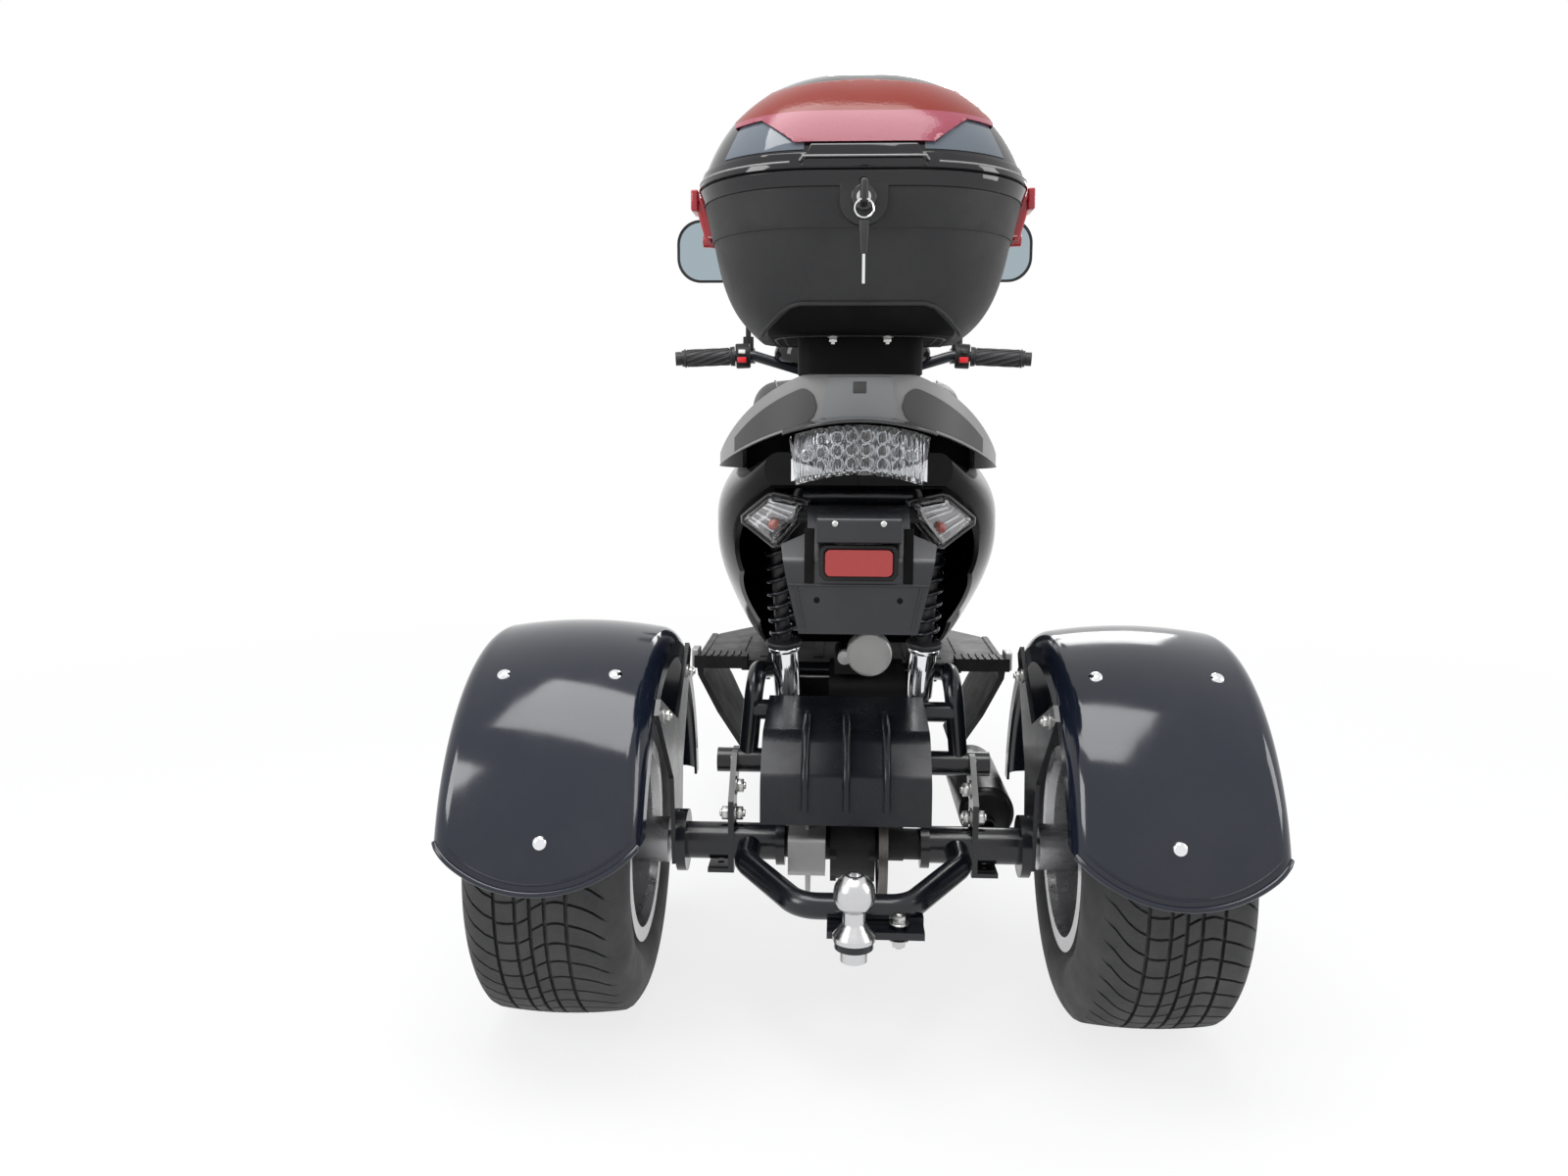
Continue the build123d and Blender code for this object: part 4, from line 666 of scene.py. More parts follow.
def press_in(piece, top, rim, depth, taper):
    """Insets the upward face at a height and presses it in, all in millimetres."""
    open_up(piece)
    choose(piece, lambda c, n: n.z > 0.9 and abs(c.z - top / 1000) < 0.0002)
    bpy.ops.mesh.inset(thickness=rim / 1000)
    bpy.ops.mesh.extrude_region_move(TRANSFORM_OT_translate={"value": (0, 0, -depth / 1000)})
    bpy.ops.transform.resize(value=(taper, taper, 1))
    put_down()


def walled(piece, thickness, offset=0.0):
    """Gives a sheet a thickness in millimetres."""
    use_modifier(piece, "SOLIDIFY", thickness=thickness / 1000, offset=offset)


def skin_patch(node, name, unwanted, cuts, thickness):
    """A patch of a node's skin, cut by planes and given a thickness outward."""
    patch = copy_of_node(node, name)
    drop(patch, unwanted)
    for point, direction in cuts:
        trimmed(patch, point, direction)
    merge_points(patch, SKIN_MERGE)
    walled(patch, thickness, 1.0)
    return patch


def lens_shell(node, name, wall):
    """A lamp's node thinned to a clear shell."""
    shell = copy_of_node(node, name)
    walled(shell, wall, -1.0)
    complete(shell, clear_lens, "chassis")
    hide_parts(node)


def clear_away(*masters):
    """Removes masters that were only copied."""
    for master in masters:
        mesh = master.data
        bpy.data.objects.remove(master)
        bpy.data.meshes.remove(mesh)


def stub(name, radius, low, high, sides=24):
    """A round or many-sided bar up Z at the origin."""
    put_down()
    bpy.ops.mesh.primitive_cylinder_add(vertices=sides, radius=radius / 1000, depth=(high - low) / 1000,
                                        location=(0, 0, (low + high) / 2000))
    return named(name)


def ball(name, radius, spot=None, segments=24, rings=12, stretch=(1, 1, 1)):
    """A ball at a point given in millimetres, or at the origin."""
    put_down()
    bpy.ops.mesh.primitive_uv_sphere_add(segments=segments, ring_count=rings, radius=radius / 1000,
                                         location=place(*spot) if spot else (0, 0, 0))
    bpy.context.object.scale = stretch
    return named(name)


def dome_head(name, radius, height):
    """A round bolt head at the origin, closed below."""
    piece = ball(name, radius, stretch=(1, 1, height / radius))
    open_up(piece)
    bpy.ops.mesh.select_all(action="SELECT")
    bpy.ops.mesh.bisect(plane_co=(0, 0, 0), plane_no=UP, clear_inner=True, use_fill=True)
    put_down()
    return piece


def hex_head(name, across, height, washer):
    """A hex bolt end with its washer and the tip of its thread, at the origin."""
    head = stub("head", across / 2 / math.cos(math.radians(30)), 1.6, 1.6 + height, 6)
    soften(head, 0.7, 2)
    ring = stub("ring", washer, -0.4, 1.8, 28)
    soften(ring, 0.4, 1)
    tip = stub("tip", across * 0.29, height, height + 4.5, 18)
    soften(tip, 0.8, 1)
    return joined(name, [head, ring, tip])


def mapped_grid(name, columns, rows, where):
    """A grid laid where a function of (u, v), each from 0 to 1, says in millimetres."""
    piece = flat_grid(name, columns, rows)
    for point in piece.data.vertices:
        point.co = place(*where((point.co.x + 1) / 2, (point.co.y + 1) / 2))
    return piece


def rounded_loop(height, size_x, size_y, corner, y_mid, steps=10):
    """Points round a rounded rectangle at a height."""
    loop = []
    for sx, sy, first in ((1, 1, 0), (-1, 1, 90), (-1, -1, 180), (1, -1, 270)):
        for k in range(steps + 1):
            turn = math.radians(first + 90 * k / steps)
            loop.append((sx * (size_x / 2 - corner) + corner * math.cos(turn),
                         y_mid + sy * (size_y / 2 - corner) + corner * math.sin(turn), height))
    return loop


# Rear fenders: rolled lip, fine line above it and dome bolts
FENDER_MID = 367.5
FENDER_R, FENDER_CROWN, FENDER_FLAT = 303, 8, 98
SHOULDER = [(98, 295), (106, 292.4), (114, 288), (119, 281.5), (122, 274)]
LIP_R, LIP_Z, LIP_TURN, LIP_STEPS = 174.0, 441.0, 43.5, 48
FENDER_BOLTS = {
    "left": [((-435, -147.3, 489.9), (-.115, -.503, .857)), ((-296.3, -144.2, 491.1), (.119, -.465, .877)),
             ((-357.9, -287.4, 325.2), (.022, -.942, .334))],
    "right": [((291.5, -136.2, 494.7), (-.132, -.464, .876)), ((437.1, -136.4, 495.4), (.119, -.465, .877)),
              ((358.8, -284.7, 332.8), (0, -.942, .334))],
}


def fender_radius(offset):
    """Radius of a fender's outer skin at an offset from its middle."""
    if abs(offset) <= FENDER_FLAT:
        return FENDER_R - FENDER_CROWN * (offset / FENDER_FLAT) ** 2
    return between(SHOULDER, abs(offset))


def fender_line(mid, inside):
    """A line on the fender skin that follows its arched rear edge."""
    path = []
    for k in range(LIP_STEPS + 1):
        turn = math.radians(-LIP_TURN + 2 * LIP_TURN * k / LIP_STEPS)
        across = (LIP_R - inside) * math.sin(turn)
        height = LIP_Z - (LIP_R - inside) * math.cos(turn)
        back = math.sqrt(fender_radius(across) ** 2 - (height - REAR_HUB_Z) ** 2)
        path.append((mid + across, -back, height))
    return path


bolt_master = dome_head("bolt_master", 8.5, 4.6)
for side, name in SIDES:
    mid = side * FENDER_MID
    bead(f"fender_lip_{name}", [fender_line(mid, 2)], 3.6, fender_gloss, sides=5)
    bead(f"fender_line_{name}", [fender_line(mid, 13)], 1.3, fender_gloss)
    complete(set_out(bolt_master, f"fender_bolts_{name}", FENDER_BOLTS[name]), chrome, "chassis")
clear_away(bolt_master)

# Tail lamp: clear shell, grey plate, rows of cups with their chips and rings, a white lip and a hood
LENS_Y = -130.0
LAMP_LOW, LAMP_ARCH, LAMP_RISE = 733, 12, 49
PLATE_WIDE, PLATE_R = 150, 101
CUP_R, CUP_DEEP, CUP_STEP, CUP_MID_Z, CUP_SEAT_R = 7.9, 5.5, 16.6, 769.5, 101.5
CUP_ROWS = ((-15.5, 6), (0, 8), (15.5, 6))
CHIP_SEAT_R = 102.8
RING_R, RING_STEPS, RING_SEAT_R = 7.0, 20, 108.2
LIP_WIDE, LIP_SEAT_R, LIP_LOW, LIP_CORNER, LIP_POWER = 154, 109.2, 1.5, 24, 2.8
HOOD_WIDE, HOOD_R, HOOD_Y, HOOD_Z = 176, 118, -178, 801


def on_lamp(across, height, radius):
    """A point on the tail lamp's round front."""
    return (across, LENS_Y - math.sqrt(radius ** 2 - across ** 2), height)


def on_hood(u, v):
    """A point of the thin hood over the lamp."""
    across = HOOD_WIDE * (u - 0.5)
    return (across, HOOD_Y - v * (math.sqrt(HOOD_R ** 2 - across ** 2) - 47),
            HOOD_Z - 15 * (2 * u - 1) ** 2 + 5 * (1 - v))


lens_shell("tail_lamp", "tail_lens", 2.2)
lamp_plate = mapped_grid("tail_plate", 30, 10, lambda u, v: on_lamp(
    PLATE_WIDE * (u - 0.5), LAMP_LOW + LAMP_RISE * v + LAMP_ARCH * (1 - (2 * u - 1) ** 2), PLATE_R))
walled(lamp_plate, 1.6, 1.0)
complete(lamp_plate, lamp_grey, "chassis")
cup_master = stub("cup_master", CUP_R, 0, CUP_DEEP, 24)
press_in(cup_master, CUP_DEEP, 1.1, 4.2, 0.5)
chip_master = dome_head("chip_master", 3.1, 2.6)
cup_spots, chip_spots, ring_paths = [], [], []
for rise, count in CUP_ROWS:
    for k in range(count):
        across = (k - (count - 1) / 2) * CUP_STEP
        height = CUP_MID_Z - LAMP_ARCH * (across / (PLATE_WIDE / 2)) ** 2 + rise
        spot = on_lamp(across, height, CUP_SEAT_R)
        outward = (across, spot[1] - LENS_Y, 0)
        cup_spots.append((spot, outward))
        chip_spots.append((on_lamp(across, height, CHIP_SEAT_R), outward))
        turns = [2 * math.pi * step / RING_STEPS for step in range(RING_STEPS)]
        ring_paths.append([on_lamp(across + RING_R * math.cos(turn), height + RING_R * math.sin(turn),
                                   RING_SEAT_R) for turn in turns])
complete(set_out(cup_master, "tail_cups", cup_spots), lamp_bowl, "chassis")
complete(set_out(chip_master, "tail_chips", chip_spots), chain_steel, "chassis")
clear_away(cup_master, chip_master)
bead("tail_rings", ring_paths, 0.75, lamp_white_and_highlight, sides=2, cyclic=True)
lamp_lip = mapped_grid("tail_lip", 40, 4, lambda u, v: on_lamp(
    LIP_WIDE * (u - 0.5), LAMP_LOW + LAMP_ARCH * (1 - (2 * u - 1) ** 2)
    + v * (LIP_LOW + LIP_CORNER * abs(2 * u - 1) ** LIP_POWER), LIP_SEAT_R))
walled(lamp_lip, 1.2)
complete(lamp_lip, lamp_white_and_highlight, "chassis")
hood = mapped_grid("tail_hood", 28, 6, on_hood)
walled(hood, 3.2)
rounded(hood, 1.0, 2, lamp_bezel)

# Rear signals: clear shell, faceted bowl, white ribs as painted highlights of the lens's facets, bulb, dark
# rim and stalk sleeve
SIGNAL = [(61, 707), (104, 716), (141, 685), (98, 651)]
SIGNAL_EDGE = SIGNAL + [(66, 689)]
SIGNAL_MID = [sum(values) / 4 for values in zip(*SIGNAL)]
SIGNAL_Y, FACET_DEEP, RIB_Y, RIM_Y = -160, 3.4, -168, -148
FACETS_WIDE, FACETS_HIGH = 14, 8
RIB_ROWS, RIB_POINTS = (0.10, 0.24, 0.38, 0.62, 0.80), (0.08, 0.36, 0.64, 0.92)
RIM_CORNER = 0.09


def in_signal(side, u, v, size, y):
    """A point in the four-cornered outline of a signal."""
    (x0, z0), (x1, z1), (x2, z2), (x3, z3) = SIGNAL
    x = (1 - v) * ((1 - u) * x0 + u * x1) + v * ((1 - u) * x3 + u * x2)
    z = (1 - v) * ((1 - u) * z0 + u * z1) + v * ((1 - u) * z3 + u * z2)
    mid_x, mid_z = SIGNAL_MID
    return (side * (mid_x + size * (x - mid_x)), y, mid_z + size * (z - mid_z))


def on_facets(side, u, v):
    """A point of the bowl, whose points stand forward and back by turns."""
    odd = (round(u * FACETS_WIDE) + round(v * FACETS_HIGH)) % 2
    return in_signal(side, u, v, 0.86, SIGNAL_Y - FACET_DEEP * odd)


def signal_rim(side):
    """The line round a signal, with its corners cut."""
    path = []
    for k, (x, z) in enumerate(SIGNAL_EDGE):
        for other_x, other_z in (SIGNAL_EDGE[k - 1], SIGNAL_EDGE[(k + 1) % len(SIGNAL_EDGE)]):
            path.append((side * (x + RIM_CORNER * (other_x - x)), RIM_Y, z + RIM_CORNER * (other_z - z)))
    return path


lens_shell("rear_signals", "signal_lens", 1.8)
for side, name in SIDES:
    facets = mapped_grid(f"signal_facets_{name}", FACETS_WIDE, FACETS_HIGH,
                         lambda u, v: on_facets(side, u, v))
    walled(facets, 1.2)
    complete(facets, signal_bowl, "chassis", smooth=5)
    # Painted highlight: white ribs inside the clear lens for the bright stripes its facets catch
    ribs = [[in_signal(side, u, v, 0.84, RIB_Y) for u in RIB_POINTS] for v in RIB_ROWS]
    bead(f"signal_rib_highlights_{name}", ribs, 1.5, lamp_white_and_highlight)
    bulb = ball(f"signal_bulb_{name}", 7.0, (side * 97, -172, 679), rings=14, stretch=(1.0, 1.1, 1.0))
    complete(bulb, bulb_amber, "chassis")
    bead(f"signal_rim_{name}", [signal_rim(side)], 3.2, lamp_bezel, cyclic=True)
    sleeve = drum(f"signal_sleeve_{name}", (side * 59, SIGNAL_Y, 692), (side * 74, SIGNAL_Y, 692), 9.6)
    complete(sleeve, trim_plastic, "chassis")

# Plate bracket: reflector frame, raised creases, black strips of painted shade in the side folds, housing
# screws and lamp window
FRAME_Y, CREASE_Y = -267.5, -264.6
FRAME_EDGE = [(-40, 634), (-36, 629.5), (36, 629.5), (40, 634), (40, 659), (36, 663.5), (-36, 663.5),
              (-40, 659)]
bead("reflector_frame", [[(x, FRAME_Y, z) for x, z in FRAME_EDGE]], 3.4, trim_plastic, cyclic=True)
creases = [[(s * 70, CREASE_Y, 622), (s * 60, CREASE_Y, 572)] for s in (-1, 1)]
creases.append([(-78, CREASE_Y, 621), (78, CREASE_Y, 621)])
bead("bracket_creases", creases, 1.5, bracket_satin)
for side, name in SIDES:
    # Painted shade: a flat black strip on each side fold for the shade in its groove
    fold_shade = block(f"bracket_fold_shade_{name}", (side * 49, -265.3, 623), (side * 60, -262, 684))
    rounded(fold_shade, 0.8, 2, black_and_painted_shade)
screw_master = dome_head("screw_master", 3.6, 2.2)
screw_spots = [((s * 26.5, -276, 690), BACK) for s in (-1, 1)]
complete(set_out(screw_master, "bracket_screws", screw_spots), zinc, "chassis")
clear_away(screw_master)
rounded(block("plate_lamp_window", (-26, -268, 665.6), (26, -238, 668.6)), 1.0, 2, clear_lens)

# Top case: two-tone lens, rim bands with the base's band darkened as painted shade under the lid, and the
# raised middle of the lid's rim
CASE_Y = -115.0
HINGE_CLEAR_Y = 26.0
LENS_SPLIT_Z = 1121
for name, direction, material in (("lid_lens_band", UP, lens_band), ("lid_lens_field", DOWN, lens_field)):
    lens = copy_of_node("case_lens", name)
    trimmed(lens, (0, 0, LENS_SPLIT_Z), direction, fill=True)
    complete(lens, material, "case_lid")
    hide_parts("case_lens")


def faces_out(c, n):
    """How far a face of the case looks away from the case's middle: below zero on the inside."""
    return n.x * c.x * 1000 + n.y * (at(c).y - CASE_Y)


def outer_band(node, name, low, high, thickness, material, body):
    """A band of a case skin between two heights, kept clear of the lid's hinge."""
    cuts = [((0, 0, low), UP), ((0, 0, high), DOWN), ((0, HINGE_CLEAR_Y, 0), BACK)]
    band = skin_patch(node, name, lambda c, n: faces_out(c, n) < 0 or abs(n.z) > 0.9, cuts, thickness)
    rounded(band, thickness * 0.4, 2, material, body, angle=50)


outer_band("case_lid", "lid_rim", 1057.2, 1073, 2.2, lid_gloss_and_rim_shade, "case_lid")
# Painted shade: the base's rim band takes the lid's dark gloss, darker than the case below it, for the shade
# under the lid's rim
outer_band("case_base", "base_rim_shade", 1041, 1055.4, 2.4, lid_gloss_and_rim_shade, "chassis")
outer_band("case_base", "base_upper", 1001, 1040, 1.4, case_matt, "chassis")
rim_block = block("lid_rim_middle", (-66, -304.5, 1058.5), (66, -291, 1083))
squeezed(rim_block, lambda c, n: n.z > 0.9, (0.84, 0.6, 1), (0, -291, 1083))
rounded(rim_block, 2.4, 3, lid_gloss_and_rim_shade, "case_lid")

# Lock: boss, barrel and face, with one key in it and one on its ring
BOSS_R, BOSS_Z, BOSS_TOP, BOSS_FRONT, BOSS_BACK = 25, 1026, 1050, -284, -299.5
LOCK_Z = 1028
KEY_RING_R, KEY_RING_Z, KEY_RING_Y, KEY_RING_SWAY, KEY_RING_STEPS = 9.6, 1011, -336.8, 2.4, 40


def lock_piece(piece, width, segments, material):
    """A rounded piece of the lock or a key."""
    rounded(piece, width, segments, material)
    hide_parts("case_lock")


boss = drum("lock_boss", (0, BOSS_FRONT, BOSS_Z), (0, BOSS_BACK, BOSS_Z), BOSS_R, 40)
boss_top = block("boss_top", (-BOSS_R, BOSS_BACK, BOSS_Z), (BOSS_R, BOSS_FRONT, BOSS_TOP))
use_modifier(boss, "BOOLEAN", operation="UNION", object=boss_top, solver="EXACT")
clear_away(boss_top)
rounded(boss, 2.5, 3, case_matt, angle=40)
lock_piece(drum("lock_barrel", (0, -294, LOCK_Z), (0, -306, LOCK_Z), 13, 36), 1.2, 3, lamp_bezel)
lock_piece(drum("lock_face", (0, -304, LOCK_Z), (0, -307.2, LOCK_Z), 7.6, 30), 0.8, 2, zinc)
lock_piece(block("key_bow", (-4.2, -336, 1017), (4.2, -306, 1041)), 3.4, 4, grip_rubber)
ring_turns = [k * math.pi / (KEY_RING_STEPS / 2) for k in range(KEY_RING_STEPS)]
ring_path = [(KEY_RING_R * math.sin(turn), KEY_RING_Y + KEY_RING_SWAY * math.cos(turn),
              KEY_RING_Z + KEY_RING_R * math.cos(turn)) for turn in ring_turns]
key_ring = bead("key_ring", [ring_path], 0.9, chrome, cyclic=True)
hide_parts("case_lock")
key_head = block("key_head", (-5.2, -339.6, 966), (5.2, -335, 999))
squeezed(key_head, lambda c, n: n.z < -0.9, (0.62, 1, 1), (0, -337.3, 966))
lock_piece(key_head, 1.8, 3, grip_rubber)
lock_piece(block("key_blade", (-1.6, -338.6, 937), (1.6, -336, 968)), 0.5, 2, chrome)

# Case floor: foot rings and ribs, a flat black patch of painted shade on the recess under an arch, rack bolts
FLOOR_Z, FLARE_Z, FOOT_Z = 897, 28, 897.6
RECESS_TOP, RECESS_HALF, RECESS_CORNER_Z, RECESS_FRONT_Y = 924, 104, 902, -30
RECESS_SLOPE_X, RECESS_SLOPE_Z = 0.591, 0.806
ARCH_TOP = 926.5
ARCH_EDGE = [(112, 899), (108, 903), (98, 911), (88, 918.5), (78, 924), (68, ARCH_TOP)]
foot_rings = [rounded_loop(897.5, 196, 186, 62, CASE_Y), rounded_loop(899, 216, 206, 66, CASE_Y)]
bead("case_foot_ring", foot_rings, 2.4, case_matt, cyclic=True)
foot_ribs = [[(x, -208 + abs(x) * 0.2, FOOT_Z), (x, -22 - abs(x) * 0.2, FOOT_Z)]
             for x in (-88, -66, -44, 44, 66, 88)]
bead("case_foot_ribs", foot_ribs, 1.8, case_matt)
recess_cuts = [((0, 0, RECESS_TOP), DOWN)]
recess_cuts += [((s * RECESS_HALF, 0, 0), (-s, 0, 0)) for s in (-1, 1)]
recess_cuts += [((s * RECESS_HALF, 0, RECESS_CORNER_Z), (-s * RECESS_SLOPE_X, 0, -RECESS_SLOPE_Z))
                for s in (-1, 1)]
recess_cuts.append(((0, RECESS_FRONT_Y, 0), BACK))
# Painted shade: the rear skin under the arch is covered in flat black for the shade of the recess
recess_shade_skin = skin_patch("case_base", "case_recess_shade", lambda c, n: (
    at(c).z > RECESS_TOP + 7 or n.z > 0.05 or faces_out(c, n) < -0.05), recess_cuts, 0.8)
complete(recess_shade_skin, black_and_painted_shade, "chassis")


def base_rear(x, z):
    """A point on the lower rear skin of the case, a little outside it."""
    share = (z - FLOOR_Z) / FLARE_Z
    half_x, half_y, corner = 118 + 26 * share, 113 + 25 * share, 70 + 20 * share
    past = max(0.0, abs(x) - (half_x - corner))
    return (x, CASE_Y - (half_y - corner) - math.sqrt(max(0.0, corner ** 2 - past ** 2)) - 0.6, z)


arch = [base_rear(-x, z) for x, z in ARCH_EDGE]
arch += [base_rear(x, ARCH_TOP) for x in range(-60, 61, 10)]
arch += [base_rear(x, z) for x, z in reversed(ARCH_EDGE)]
bead("case_arch", [arch], 2.6, case_matt, sides=4)
rack_bolt = hex_head("rack_bolt", 9, 5, 7)
complete(set_out(rack_bolt, "rack_bolts", [((x, -203, 896), DOWN) for x in (-31, 30)]), zinc, "chassis")
clear_away(rack_bolt)

# Case latches: leaning arm, hook and pin on each side
LATCH_LEAN = 0.0125
for side, name in SIDES:
    arm = block(f"latch_arm_{name}", (side * 184, -164, 1006), (side * 192, -132, 1050))
    open_up(arm)
    choose(arm, lambda c, n: n.z < -0.9)
    bpy.ops.transform.translate(value=(-side * LATCH_LEAN, 0, 0))
    put_down()
    rounded(arm, 2.2, 3, latch_red)
    hook = block(f"latch_hook_{name}", (side * 187, -168, 1040), (side * 196, -128, 1064))
    rounded(hook, 2.4, 3, latch_red)
    pin = drum(f"latch_pin_{name}", (side * 168, -148, 1009), (side * 184, -148, 1009), 7.5, 28)
    rounded(pin, 1.4, 2, latch_red)

# Lid: bright line over the rim, and a dark window on each rear corner
LINE_Z, LINE_GAP = 1064, 67
WINDOW_LOW, WINDOW_HIGH, WINDOW_IN, WINDOW_OUT = 1077, 1124, 62, 148
WINDOW_SLOPE_X, WINDOW_SLOPE_Z = 0.91, 0.41
rear_line = sorted(p for p in rounded_loop(LINE_Z, 366.6, 372.6, 132.4, CASE_Y, 16) if p[1] < CASE_Y)
middle_line = [(-66.5, -302.5, LINE_Z + 1), (-63, -304.9, LINE_Z + 5), (63, -304.9, LINE_Z + 5),
               (66.5, -302.5, LINE_Z + 1)]
lid_lines = [[p for p in rear_line if p[0] < -LINE_GAP], middle_line,
             [p for p in rear_line if p[0] > LINE_GAP]]
bead("lid_line", lid_lines, 1.0, rail_silver, "case_lid")
for side, name in SIDES:
    cuts = [((0, 0, WINDOW_LOW), UP), ((0, 0, WINDOW_HIGH), DOWN), ((side * WINDOW_IN, 0, 0), (side, 0, 0)),
            ((side * WINDOW_OUT, 0, WINDOW_LOW), (-side * WINDOW_SLOPE_X, 0, -WINDOW_SLOPE_Z)),
            ((0, CASE_Y - 40, 0), BACK)]
    window = skin_patch("case_lid", f"lid_window_{name}", lambda c, n: (
        faces_out(c, n) < 0 or n.z < -0.1 or n.z > 0.95), cuts, 0.8)
    complete(window, window_grey, "case_lid")

# Grab rail: painted shade on the hand hollows, lighter middle panel, closing panel below in painted shade,
# dark ends, lip and square recess in painted shade
RAIL_PLAN_Y, RAIL_PLAN_R = 3.53, 181.5
RAIL_TOP_Z, RAIL_TOP_R, RAIL_FLAT_Z = 665.1, 200.9, 855.0
RAIL_LOW_Z, RAIL_LOW_R = 496.8, 305.2
HOLLOW_START, HOLLOW_LENGTH, HOLLOW_ROUND = 50, 102, 0.2
PANEL_WIDE, PANEL_TAPER, PANEL_HIGH = 88, 14, 47
END_START, END_LENGTH, END_Z = 140.5, 35, 745.3


def on_rail(x, z, off):
    """A point on the rail's rear skin, a little outside it."""
    return (x, RAIL_PLAN_Y - math.sqrt((RAIL_PLAN_R + off) ** 2 - x * x), z)


def rail_top(x):
    """Height of the rail's upper edge."""
    return min(RAIL_FLAT_Z, RAIL_TOP_Z + math.sqrt(RAIL_TOP_R ** 2 - x * x))


def rail_low(x):
    """Height of the rail's lower edge."""
    return RAIL_LOW_Z + math.sqrt(RAIL_LOW_R ** 2 - x * x)


def hollow_spot(side, u, v):
    """A point of the painted shade patch on a hand hollow, which narrows to a tip at the rail's end."""
    x = HOLLOW_START + HOLLOW_LENGTH * u
    round_off = 1 - math.sqrt(1 - (1 - min(1.0, u / HOLLOW_ROUND)) ** 2)
    low = rail_low(x) + 3 + 16 * round_off
    high = max(low + 0.5, rail_top(x) - 15 - 20 * round_off)
    return on_rail(side * x, low + (high - low) * v, 0.9)


def panel_spot(u, v):
    """A point of the rail's middle panel."""
    return on_rail((PANEL_WIDE - PANEL_TAPER * v) * (u - 0.5), rail_low(0) + 3 + PANEL_HIGH * v, 1.0)


def end_spot(side, u, v):
    """A point of the dark corner under a rail end."""
    x = END_START + END_LENGTH * u
    return on_rail(side * x, END_Z + (max(END_Z + 0.5, rail_low(x) + 0.5) - END_Z) * v, 0.9)


def rail_patch(name, columns, rows, where, thickness, material):
    """A thin patch laid on the rail's skin."""
    patch = mapped_grid(name, columns, rows, where)
    merge_points(patch, PATCH_MERGE)
    walled(patch, thickness)
    merge_points(patch, PATCH_MERGE, outward=True)
    complete(patch, material, "chassis")


# Painted shade: a dark patch on each hand hollow for the shade inside it
for side, name in SIDES:
    rail_patch(f"rail_hollow_shade_{name}", 30, 6, lambda u, v: hollow_spot(side, u, v), 1.4, rail_painted_shade)
rail_patch("rail_panel", 20, 6, panel_spot, 1.8, rail_panel_grey)
# Painted shade: a flat black plate behind the gap under the rail for the shaded space there
rounded(block("tail_closure_shade", (-141, -64, 747), (141, -60, 800)), 1.0, 2, black_and_painted_shade)
for side, name in SIDES:
    rail_patch(f"rail_corner_{name}", 16, 4, lambda u, v: end_spot(side, u, v), 1.4, side_gloss)
bead("rail_lip", [[on_rail(x, rail_low(x) + 1.2, 0.6) for x in range(-156, 157, 6)]], 1.7, rail_silver)
# Painted shade: a dark block on the square recess for the shade inside it
rounded(block("rail_recess_shade", (-8, -180.6, 833), (8, -176, 847)), 1.4, 2, rail_painted_shade)

# Bolts on the carrier, the fender stays and the hitch
STAY_BOLTS = ((96, 446), (-128, 436), (26, 238), (-26, 238), (0, 262), (0, 204))
carrier_spots = []
for s in (-1, 1):
    carrier_spots += [((s * 169, 45, 330), (s, 0, 0)), ((s * 169, 2, 268), (s, 0, 0)),
                      ((s * 161, 2, 268), (-s, 0, 0)), ((s * 161, 12, 304), (-s, 0, 0))]
stay_spots = [((s * 239, y, z), (-s, 0, 0)) for s in (-1, 1) for y, z in STAY_BOLTS]
hitch_spots = [((54, -214, 208.6), UP), ((54, -214, 189.4), DOWN)]
for name, across, height, washer, spots in (("carrier_bolts", 17, 9, 13, carrier_spots),
                                            ("stay_bolts", 13, 7, 10, stay_spots),
                                            ("hitch_bolts", 15, 8, 12, hitch_spots)):
    bolt_master = hex_head("bolt_master", across, height, washer)
    complete(set_out(bolt_master, name, spots), zinc, "chassis")
    clear_away(bolt_master)

# Footrest ends and treads
TREAD_Z = 404.4
for side, name in SIDES:
    cap = block(f"footrest_cap_{name}", (side * 264, 437, 383), (side * 276.6, 475, 414.6))
    rounded(cap, 2.5, 3, cast_alloy)
    treads = [[(side * x, 436, TREAD_Z), (side * x, 476, TREAD_Z)] for x in range(194, 255, 12)]
    bead(f"footrest_treads_{name}", treads, 2.0, grip_rubber)

# Grips, switches and buttons
BAR_INNER, BAR_OUTER = Vector((205, 904, 946)), Vector((352, 889, 938.5))
GRIP_START, GRIP_R, RIB_COUNT, RIB_STEPS, RIB_STEP, RIB_TWIST = 254, 16.6, 12, 17, 5.4, 0.09
COLLARS, COLLAR_STEPS = ((250, 17.5), (344, 17.0)), 32
SWITCH_X, SWITCH_FRONT, SWITCH_BACK = 226, -20, -30


def by_bar(side, x):
    """A point on the outer run of the handlebar."""
    spot = BAR_INNER + (BAR_OUTER - BAR_INNER) * ((x - BAR_INNER.x) / (BAR_OUTER.x - BAR_INNER.x))
    return Vector((side * spot.x, spot.y, spot.z))


def round_bar(side, x, radius, turn):
    """A point on a circle round the outer run of the handlebar."""
    run = (by_bar(side, BAR_OUTER.x) - by_bar(side, BAR_INNER.x)).normalized()
    first = run.cross(Vector((0, 0, 1))).normalized()
    second = first.cross(run)
    return tuple(by_bar(side, x) + radius * (first * math.cos(turn) + second * math.sin(turn)))


